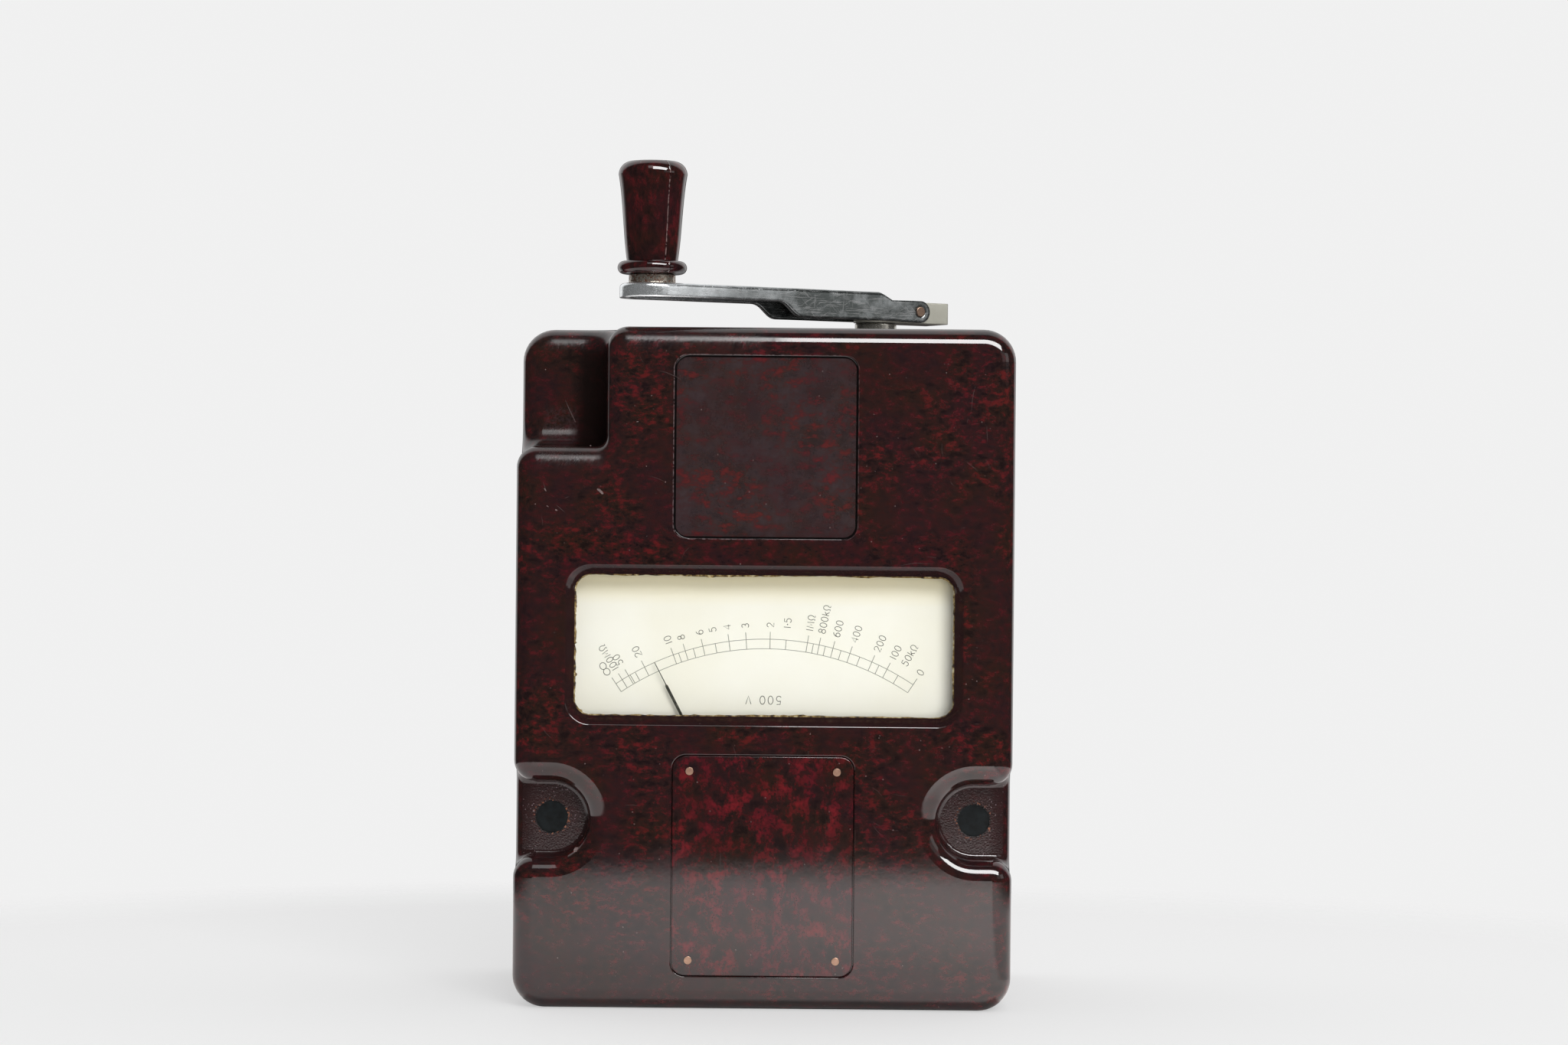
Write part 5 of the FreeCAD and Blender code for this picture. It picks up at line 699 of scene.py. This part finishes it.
def scaleInk(name, look):
    # Printed drawing ink, thin and a little grey, with breaks where the print is dry
    material, tree, shader, place = startMaterial(name, Roughness=0.6)
    dry = addNode(tree, "TexNoise", {"Vector": place, "Scale": perMm(0.7), "Detail": 3.0})
    tones = addNode(tree, "ValToRGB", {0: dry.outputs["Fac"]},
                    stops=[(0.3, linear(look["ink"])), (0.75, linear(look["dry"]))])
    tree.links.new(tones.outputs[0], shader.inputs["Base Color"])
    return material


lineInk = {"ink": "#6f6e67", "dry": "#98968c"}
figureInk = {"ink": "#3c3b38", "dry": "#67655e"}


def paintedPointer(name):
    # Aluminium pointer in black lacquer: satin, with paint thin on its edges
    material, tree, shader, place = startMaterial(name, Roughness=0.4)
    thin = addNode(tree, "TexNoise", {"Vector": place, "Scale": perMm(1.2), "Detail": 3.0})
    tones = addNode(tree, "ValToRGB", {0: thin.outputs["Fac"]},
                    stops=[(0.4, linear("#1d1c19")), (0.75, linear("#4b4940"))])
    tree.links.new(tones.outputs[0], shader.inputs["Base Color"])
    return material


def windowPane(name):
    # Drawn sheet glass: clear with the faintest green, slightly wavy, a trace of wiped dust
    material, tree, shader, place = startMaterial(name, IOR=1.5, Transmission_Weight=1.0, Roughness=0.0)
    wave = addNode(tree, "TexNoise", {"Vector": place, "Scale": perMm(38.0), "Detail": 1.0})
    bump = addNode(tree, "Bump", {"Height": wave.outputs["Fac"], "Distance": 0.02 * mm})
    tree.links.new(bump.outputs["Normal"], shader.inputs["Normal"])
    dust = addNode(tree, "TexNoise", {"Vector": place, "Scale": perMm(18.0), "Detail": 6.0, "Roughness": 0.7})
    haze = addNode(tree, "MapRange", {"Value": dust.outputs["Fac"], "From Min": 0.4, "From Max": 0.8, "To Max": 0.05})
    tree.links.new(haze.outputs[0], shader.inputs["Roughness"])
    shader.inputs["Base Color"].default_value = linear("#fefefd")
    path = addNode(tree, "LightPath")
    clear = addNode(tree, "BsdfTransparent", {"Color": linear("#fcfdfb")})
    blend = addNode(tree, "MixShader", {0: path.outputs["Is Camera Ray"], 1: clear.outputs[0],
                                        2: shader.outputs[0]})
    tree.links.new(blend.outputs[0], tree.nodes["Material Output"].inputs["Surface"])
    return material


def fibreSheet(name, look):
    # Pressed vegetable fibre, cut with a knife: cream and fuzzy, stained brown by old grease at the cut edge
    material, tree, shader, place = startMaterial(name, Roughness=0.9)
    fibres = addNode(tree, "Mapping", {"Vector": place, "Scale": (0.3, 1.0, 1.0)})
    fuzz = addNode(tree, "TexNoise", {"Vector": fibres.outputs[0], "Scale": perMm(0.4), "Detail": 4.0})
    stains = addNode(tree, "TexNoise", {"Vector": place, "Scale": perMm(2.2), "Detail": 5.0, "Roughness": 0.7})
    both = addNode(tree, "Math", {0: fuzz.outputs["Fac"], 1: 0.35, 2: stains.outputs["Fac"]},
                   operation="MULTIPLY_ADD")
    tones = addNode(tree, "ValToRGB", {0: both.outputs[0]}, stops=[
        (0.52, linear(look["cream"])), (0.64, linear(look["tan"])), (0.76, linear(look["dark"]))])
    bump = addNode(tree, "Bump", {"Height": fuzz.outputs["Fac"], "Distance": 0.05 * mm})
    tree.links.new(tones.outputs[0], shader.inputs["Base Color"])
    tree.links.new(bump.outputs["Normal"], shader.inputs["Normal"])
    return material


gasketFibre = {"cream": "#cfc39a", "tan": "#8d7442", "dark": "#2a1d12"}
boardFibre = {"cream": "#5a3a22", "tan": "#4c2f1b", "dark": "#2f1b10"}


def pouredCompound(name, look):
    # Bitumen sealing compound, poured hot over the screw: black-green, dull skin with shallow dimples and dust
    material, tree, shader, place = startMaterial(name, Specular_IOR_Level=0.2)
    cloud = addNode(tree, "TexNoise", {"Vector": place, "Scale": perMm(2.5), "Detail": 4.0})
    tones = addNode(tree, "ValToRGB", {0: cloud.outputs["Fac"]},
                    stops=[(0.35, linear(look["dark"])), (0.7, linear(look["light"]))])
    bump = addNode(tree, "Bump", {"Height": cloud.outputs["Fac"], "Distance": 0.10 * mm})
    rough = addNode(tree, "MapRange", {"Value": cloud.outputs["Fac"], "To Min": 0.30, "To Max": 0.55})
    tree.links.new(tones.outputs[0], shader.inputs["Base Color"])
    tree.links.new(rough.outputs[0], shader.inputs["Roughness"])
    tree.links.new(bump.outputs["Normal"], shader.inputs["Normal"])
    return material


screwCompound = {"dark": "#06090a", "light": "#12181a"}
mouldedRubber = {"dark": "#121212", "light": "#232221"}
pressedCarbon = {"dark": "#17171a", "light": "#2c2c30"}


def scuff(name, shade):
    # Bare filler where the moulding is chipped or scratched: dull and pale
    material, tree, shader, place = startMaterial(name, Roughness=0.8)
    grit = addNode(tree, "TexNoise", {"Vector": place, "Scale": perMm(0.35), "Detail": 3.0})
    dark = tuple(c * 0.35 for c in linear(shade)[:3]) + (1.0,)
    tones = addNode(tree, "ValToRGB", {0: grit.outputs["Fac"]}, stops=[(0.35, dark), (0.6, linear(shade))])
    tree.links.new(tones.outputs[0], shader.inputs["Base Color"])
    return material


print("stage: enamel, fibre, glass and compound ready")


# Materials of the carried-over nodes
finishes = {
    "caseBakelite": (caseMoulding("caseBakelite", caseBakelite, frontFaces), ["front_shell"]),
    "coverBakelite": (pressedBakelite("coverBakelite", coverBakelite),
                      ["rear_cover", "right_terminal_knob", "left_terminal_knob"]),
    "plateBakelite": (rivetedPlate("plateBakelite", plateBakelite, rivetCountersinkShade), ["rating_plate"]),
    "gripBakelite": (seamedGrip("gripBakelite", gripBakelite, gripSeam), ["finger_grip"]),
    "nickelArm": (platedMetal("nickelArm", armPlate), ["crank_arm"]),
    "nickelBlock": (platedMetal("nickelBlock", blockPlate), ["hub_block"]),
    "nickelCollar": (platedMetal("nickelCollar", collarPlate), ["crank_bush", "grip_spindle"]),
    "rustyWasher": (platedMetal("rustyWasher", washerPlate), ["grip_washer"]),
    "turnedSteel": (castMetal("turnedSteel", turnedSteel),
                    ["case_screws", "rear_cover_screws", "pole_piece_screws", "plate_screws", "crank_shaft",
                     "intermediate_arbor", "armature_shaft", "pointer_spindle", "armature_pinion"]),
    "sandCastIron": (castMetal("sandCastIron", sandCastIron),
                     ["meter_poles", "meter_core", "generator_poles", "armature_core"]),
    "lacqueredBrass": (castMetal("lacqueredBrass", lacqueredBrass),
                       ["glass_clips", "glass_and_dial_screws", "rear_bridge", "front_bridge", "jewel_screws",
                        "balance_weights", "generator_bracket", "armature_bearings", "brush_springs",
                        "upper_gear_plate", "lower_gear_plate", "frame_pillars", "main_gear",
                        "intermediate_gear", "terminal_studs", "terminal_nuts", "right_clamp_washer",
                        "left_clamp_washer"]),
    "copperRivet": (castMetal("copperRivet", copperRivet), ["rating_rivets", "commutator"]),
    "pinBronze": (castMetal("pinBronze", pinBronze), ["hinge_pin"]),
    "magnetPaint": (paintedMagnet("magnetPaint", magnetPaint), ["bar_magnets"]),
    "armatureWire": (woundWire("armatureWire", armatureWire), ["armature_winding"]),
    "bobbinWire": (woundWire("bobbinWire", bobbinWire), ["resistor_coils"]),
    "coilWire": (woundWire("coilWire", coilWire), ["moving_coils"]),
    "dialEnamel": (stovedEnamel("dialEnamel", dialEnamel), ["dial_plate"]),
    "pointerLacquer": (paintedPointer("pointerLacquer"), ["pointer"]),
    "windowPane": (windowPane("windowPane"), ["window_glass"]),
    "gasketFibre": (fibreSheet("gasketFibre", gasketFibre), ["window_gasket"]),
    "boardFibre": (fibreSheet("boardFibre", boardFibre), ["resistor_board", "brush_holders"]),
    "screwCompound": (pouredCompound("screwCompound", screwCompound), ["screw_seals"]),
    "mouldedRubber": (pouredCompound("mouldedRubber", mouldedRubber), ["rubber_feet", "internal_leads"]),
    "pressedCarbon": (pouredCompound("pressedCarbon", pressedCarbon), ["carbon_brushes"]),
}
dressed = set()
for finish, nodeNames in finishes.values():
    for nodeName in nodeNames:
        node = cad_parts[nodeName]
        for index in range(len(node.data.materials)):
            node.data.materials[index] = finish
        if not node.data.materials:
            node.data.materials.append(finish)
        dressed.add(nodeName)
print("stage: nodes dressed", len(dressed), "left bare", sorted(set(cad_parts) - dressed))


# Helpers for thin pieces drawn on a face that looks along -Y
def newPiece(name, form, material, body):
    mesh = bpy.data.meshes.new(name)
    form.to_mesh(mesh)
    form.free()
    mesh.materials.append(material)
    piece = bpy.data.objects.new(name, mesh)
    scene.collection.objects.link(piece)
    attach(piece, body)
    return piece


def drawStroke(form, points, width, depth, taper=False):
    # a flat ribbon along points (x, z) in millimetres, at one depth
    count = len(points)
    rails = []
    for i, (x, z) in enumerate(points):
        ahead = points[min(i + 1, count - 1)]
        behind = points[max(i - 1, 0)]
        dx, dz = ahead[0] - behind[0], ahead[1] - behind[1]
        length = math.hypot(dx, dz) or 1.0
        half = width / 2
        if taper:
            half *= math.sin(math.pi * (i + 0.5) / count)
        side = (-dz / length * half, dx / length * half)
        rails.append([form.verts.new(((x + s * side[0]) * mm, depth * mm, (z + s * side[1]) * mm))
                      for s in (1, -1)])
    for first, second in zip(rails, rails[1:]):
        form.faces.new((first[0], first[1], second[1], second[0]))


# Scale: two arcs, ticks and figures, printed on the dial plate
scalePrint = {
    "centre": (0.5, 30.35), "outer": 80.75, "inner": 77.85, "long": 2.2, "lineWidth": 0.17, "tickWidth": 0.20,
    "figureWidth": 0.20, "figureHeight": 2.1, "figureStart": 84.4, "depth": -42.12,
    "voltage": "500V", "voltagePlace": (5.2, 93.9), "voltageHeight": 2.5, "voltageWidth": 0.22,
}
scaleMarks = [
    (-34.1, 1, "oo"), (-32.5, 1, "100MW"), (-30.9, 1, "50"), (-30.5, 0, ""), (-29.3, 0, ""), (-27.0, 1, "20"),
    (-20.3, 1, "10"), (-19.1, 0, ""), (-17.6, 1, "8"), (-15.8, 0, ""), (-13.7, 1, "6"), (-11.0, 0, "5"),
    (-8.0, 1, "4"), (-4.3, 1, "3"), (0.85, 1, "2"), (4.3, 0, "1.5"), (8.9, 1, "1MW"), (10.2, 0, ""),
    (11.45, 1, "800kW"), (12.8, 0, ""), (14.5, 1, "600"), (16.3, 0, ""), (18.3, 1, "400"), (20.55, 0, ""),
    (23.35, 1, "200"), (25.05, 0, ""), (26.95, 1, "100"), (29.65, 0, "50kW"), (33.45, 1, "0"),
]


def bow(cx, cy, rx, ry, start, end, steps=14):
    turns = [math.radians(start + (end - start) * i / steps) for i in range(steps + 1)]
    return [(cx + rx * math.cos(t), cy + ry * math.sin(t)) for t in turns]


# Open strokes in a box one high, with the advance to the next figure. W stands for ohm and o for half of infinity.
figureStrokes = {
    "0": ([bow(0.32, 0.5, 0.30, 0.5, 90, 450, 28)], 0.86),
    "1": ([[(0.12, 0.0), (0.12, 1.0)]], 0.46),
    "2": ([bow(0.30, 0.72, 0.28, 0.28, 170, -35) + [(0.02, 0.0), (0.60, 0.0)]], 0.84),
    "3": ([bow(0.27, 0.745, 0.25, 0.255, 150, -90) + bow(0.27, 0.255, 0.29, 0.255, 90, -150)], 0.82),
    "4": ([[(0.50, 0.0), (0.50, 1.0), (0.02, 0.28), (0.66, 0.28)]], 0.88),
    "5": ([[(0.54, 1.0), (0.12, 1.0), (0.08, 0.58)] + bow(0.27, 0.32, 0.30, 0.32, 120, -150)], 0.84),
    "6": ([bow(0.60, 0.33, 0.58, 0.68, 100, 180, 10) + bow(0.30, 0.30, 0.28, 0.30, 180, 540, 24)], 0.84),
    "8": ([bow(0.30, 0.76, 0.23, 0.24, -90, 270, 22), bow(0.30, 0.26, 0.29, 0.26, -90, 270, 24)], 0.86),
    "M": ([[(0.04, 0.0), (0.12, 1.0), (0.42, 0.25), (0.72, 1.0), (0.80, 0.0)]], 1.06),
    "k": ([[(0.08, 0.0), (0.08, 1.0)], [(0.50, 0.64), (0.08, 0.30)], [(0.22, 0.42), (0.54, 0.0)]], 0.74),
    "W": ([[(0.02, 0.0), (0.24, 0.0)] + bow(0.38, 0.58, 0.33, 0.42, 232, -52, 24) + [(0.52, 0.0), (0.74, 0.0)]],
          0.90),
    "V": ([[(0.02, 1.0), (0.34, 0.0), (0.66, 1.0)]], 0.90),
    ".": ([bow(0.06, 0.5, 0.05, 0.05, 0, 360, 8)], 0.34),
    "o": ([bow(0.42, 0.5, 0.50, 0.46, 0, 360, 28)], 0.98),
}


def drawScale(values, marks):
    cx, cz = values["centre"]

    def polar(radius, angle, aside=0.0):
        turn = math.radians(angle)
        return (cx + radius * math.sin(turn) - aside * math.cos(turn),
                cz + radius * math.cos(turn) + aside * math.sin(turn))

    lines = bmesh.new()
    first, last = marks[0][0], marks[-1][0]
    for radius in (values["outer"], values["inner"]):
        sweep = [polar(radius, first + (last - first) * i / 120) for i in range(121)]
        drawStroke(lines, sweep, values["lineWidth"], values["depth"])
    for angle, isLong, _ in marks:
        end = values["outer"] + (values["long"] if isLong else 0.0)
        drawStroke(lines, [polar(values["inner"], angle), polar(end, angle)], values["tickWidth"],
                   values["depth"] - 0.005)
    newPiece("scaleLines", lines, scaleInk("lineInk", lineInk), "case")
    figures = bmesh.new()
    shifted = {"oo": -34.3, "50": -31.15, "0": 33.3}
    tall = values["figureHeight"]
    for angle, _, label in marks:
        if not label:
            continue
        angle = shifted.get(label, angle)
        along = values["figureStart"] + (0.6 if label == "50" else 0.0)
        for letter in label:
            strokes, advance = figureStrokes[letter]
            for stroke in strokes:
                drawn = [polar(along + x * tall, angle, (y - 0.5) * tall) for x, y in stroke]
                drawStroke(figures, drawn, values["figureWidth"], values["depth"])
            along += advance * tall
    # the test voltage stands upside down under the arc
    x, z = values["voltagePlace"]
    for letter in values["voltage"]:
        strokes, advance = figureStrokes[letter]
        x -= (0.7 if letter == "V" else 0.0) * values["voltageHeight"]
        for stroke in strokes:
            drawn = [(x - a * values["voltageHeight"], z - b * values["voltageHeight"]) for a, b in stroke]
            drawStroke(figures, drawn, values["voltageWidth"], values["depth"])
        x -= (advance + 0.12) * values["voltageHeight"]
    newPiece("scaleFigures", figures, scaleInk("figureInk", figureInk), "case")


drawScale(scalePrint, scaleMarks)
print("stage: scale printed")


# Gasket: the fibre frame with the knife-cut inner edge that shows inside the opening
gasketCut = {"half": (57.1, 21.25), "outer": (61.5, 25.65), "z": 109.2, "corner": 5.0, "show": 0.35,
             "ragged": 0.22, "y": (-51.0, -50.2), "seed": 4}


def roundedFrame(halfWide, halfTall, corner, steps, perSide):
    # points round a rectangle with round corners, anticlockwise from the right-hand side, with outward directions
    points = []
    for quarter, (sx, sz) in enumerate(((1, 1), (-1, 1), (-1, -1), (1, -1))):
        for i in range(steps + 1):
            turn = math.radians(90 * (quarter + i / steps))
            way = (math.cos(turn), math.sin(turn))
            points.append((sx * (halfWide - corner) + corner * way[0], sz * (halfTall - corner) + corner * way[1],
                           way))
        nextPlace = roundedCorner(quarter + 1, halfWide, halfTall, corner)
        last = points[-1]
        for i in range(1, perSide):
            t = i / perSide
            points.append((last[0] + (nextPlace[0] - last[0]) * t, last[1] + (nextPlace[1] - last[1]) * t, last[2]))
    return points


def roundedCorner(quarter, halfWide, halfTall, corner):
    sx, sz = ((1, 1), (-1, 1), (-1, -1), (1, -1))[quarter % 4]
    turn = math.radians(90 * quarter)
    return (sx * (halfWide - corner) + corner * math.cos(turn), sz * (halfTall - corner) + corner * math.sin(turn))


def makeGasket(values):
    chance = random.Random(values["seed"])
    inside = roundedFrame(*values["half"], values["corner"], 12, 70)
    outside = roundedFrame(*values["outer"], values["corner"], 12, 70)
    form = bmesh.new()
    rings = []
    drift = 0.0
    for (ix, iz, way), (ox, oz, _) in zip(inside, outside):
        drift = 0.8 * drift + chance.uniform(-0.5, 0.5) * values["ragged"]
        cut = max(0.06, values["show"] + drift + chance.uniform(-0.4, 0.4) * values["ragged"])
        if chance.random() < 0.03:
            cut += chance.uniform(0.1, 0.4)
        x, z = ix - way[0] * cut, iz - way[1] * cut + values["z"]
        ring = [(x, z, values["y"][0]), (ox, oz + values["z"], values["y"][0]),
                (ox, oz + values["z"], values["y"][1]), (x, z, values["y"][1])]
        rings.append([form.verts.new((a * mm, c * mm, b * mm)) for a, b, c in ring])
    for here, there in zip(rings, rings[1:] + rings[:1]):
        for i in range(4):
            form.faces.new((here[i], there[i], there[(i + 1) % 4], here[(i + 1) % 4]))
    bmesh.ops.recalc_face_normals(form, faces=form.faces)
    piece = newPiece("cutGasket", form, finishes["gasketFibre"][0], "case")
    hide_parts("window_gasket")


makeGasket(gasketCut)
print("stage: gasket cut")


# Marks of use on the front: small chips and scratches, each on the face that it marks
chipMarks = [  # x, z, length, width, direction in degrees, depth of the face
    (-49.6, 155.3, 2.4, 0.9, -38, -55.0), (-66.1, 155.6, 1.3, 0.4, -50, -55.0), (-62.7, 149.5, 1.0, 0.4, -20, -55.0),
    (-65.3, 150.6, 0.8, 0.25, -35, -55.0), (-55.9, 47.8, 2.3, 1.2, 60, -55.0), (-52.6, 168.9, 0.5, 0.3, 0, -55.0),
    (33.2, 172.4, 0.5, 0.3, 30, -55.0), (-38.6, 176.2, 0.7, 0.3, 10, -55.0), (14.0, 83.1, 0.6, 0.25, 75, -55.0),
]
scratchMarks = [  # points x, z, width, depth of the face
    ([(-32.6, 191.6), (-30.0, 191.0), (-27.4, 189.9), (-25.6, 188.9)], 0.10, -55.0),
    ([(-61.8, 183.4), (-60.4, 180.3), (-58.6, 176.6), (-57.2, 173.4)], 0.34, -29.0),
    ([(-57.0, 176.4), (-56.2, 175.0), (-55.9, 173.8)], 0.22, -29.0),
    ([(62.6, 188.6), (61.7, 184.0), (61.3, 179.5)], 0.09, -55.0),
    ([(66.0, 176.0), (66.3, 171.0)], 0.08, -55.0),
    ([(-62.9, 151.2), (-60.2, 148.9)], 0.10, -55.0),
    ([(-66.8, 158.0), (-65.6, 154.9)], 0.08, -55.0),
    ([(40.2, 133.8), (44.9, 134.6), (50.5, 134.4)], 0.08, -55.0),
]


fineWear = {"specks": 70, "hairs": 34, "seed": 11, "speckMm": (0.12, 0.34), "hairMm": (1.5, 6.0)}


def frontPlace(chance):
    # a place on the flat of the front, clear of the window, the panels, the pocket and the recesses
    while True:
        x, z = chance.uniform(-68.0, 68.0), chance.uniform(8.0, 198.0)
        inWindow = abs(x) < 62.0 and 84.0 < z < 135.0
        inPanels = abs(x) < 29.0 and (z < 78.0 or z > 139.0)
        inRecess = abs(x) > 44.0 and 35.0 < z < 78.0
        inPocket = x < -40.0 and z > 160.0
        if not (inWindow or inPanels or inRecess or inPocket):
            return x, z


def makeMarks(chips, scratches, wear):
    chance = random.Random(wear["seed"])
    form = bmesh.new()
    small = []
    for _ in range(wear["specks"]):
        x, z = frontPlace(chance)
        length = chance.uniform(*wear["speckMm"])
        small.append((x, z, length, length * chance.uniform(0.4, 0.9), chance.uniform(0, 180), -55.0))
    for x, z, length, width, way, depth in chips + small:
        turn = math.radians(way)
        rim = []
        for i in range(13):
            angle = 2 * math.pi * i / 13
            reach = 1.0 + chance.uniform(-0.4, 0.2)
            a, b = length / 2 * reach * math.cos(angle), width / 2 * reach * math.sin(angle)
            rim.append(form.verts.new(((x + a * math.cos(turn) - b * math.sin(turn)) * mm, (depth - 0.012) * mm,
                                       (z + a * math.sin(turn) + b * math.cos(turn)) * mm)))
        form.faces.new(rim)
    newPiece("edgeChips", form, scuff("bareFiller", "#73605e"), "case")
    form = bmesh.new()
    hairs = []
    for _ in range(wear["hairs"]):
        x, z = frontPlace(chance)
        length, way = chance.uniform(*wear["hairMm"]), math.radians(chance.gauss(-40, 35))
        bend = chance.uniform(-0.08, 0.08) * length
        hairs.append(([(x, z), (x + length / 2 * math.cos(way) - bend * math.sin(way),
                                z + length / 2 * math.sin(way) + bend * math.cos(way)),
                       (x + length * math.cos(way), z + length * math.sin(way))], chance.uniform(0.04, 0.08), -55.0))
    for points, width, depth in scratches + hairs:
        fine = []
        for (x0, z0), (x1, z1) in zip(points, points[1:]):
            for i in range(6):
                t = i / 6
                fine.append((x0 + (x1 - x0) * t + chance.uniform(-0.03, 0.03), z0 + (z1 - z0) * t))
        drawStroke(form, fine + [points[-1]], width, depth - 0.012, taper=True)
    newPiece("hairScratches", form, scuff("scratchedSkin", "#4d3c3a"), "case")


makeMarks(chipMarks, scratchMarks, fineWear)
print("stage: marks of use placed")


def reportSize():
    print("stage: scene script finished")


reportSize()
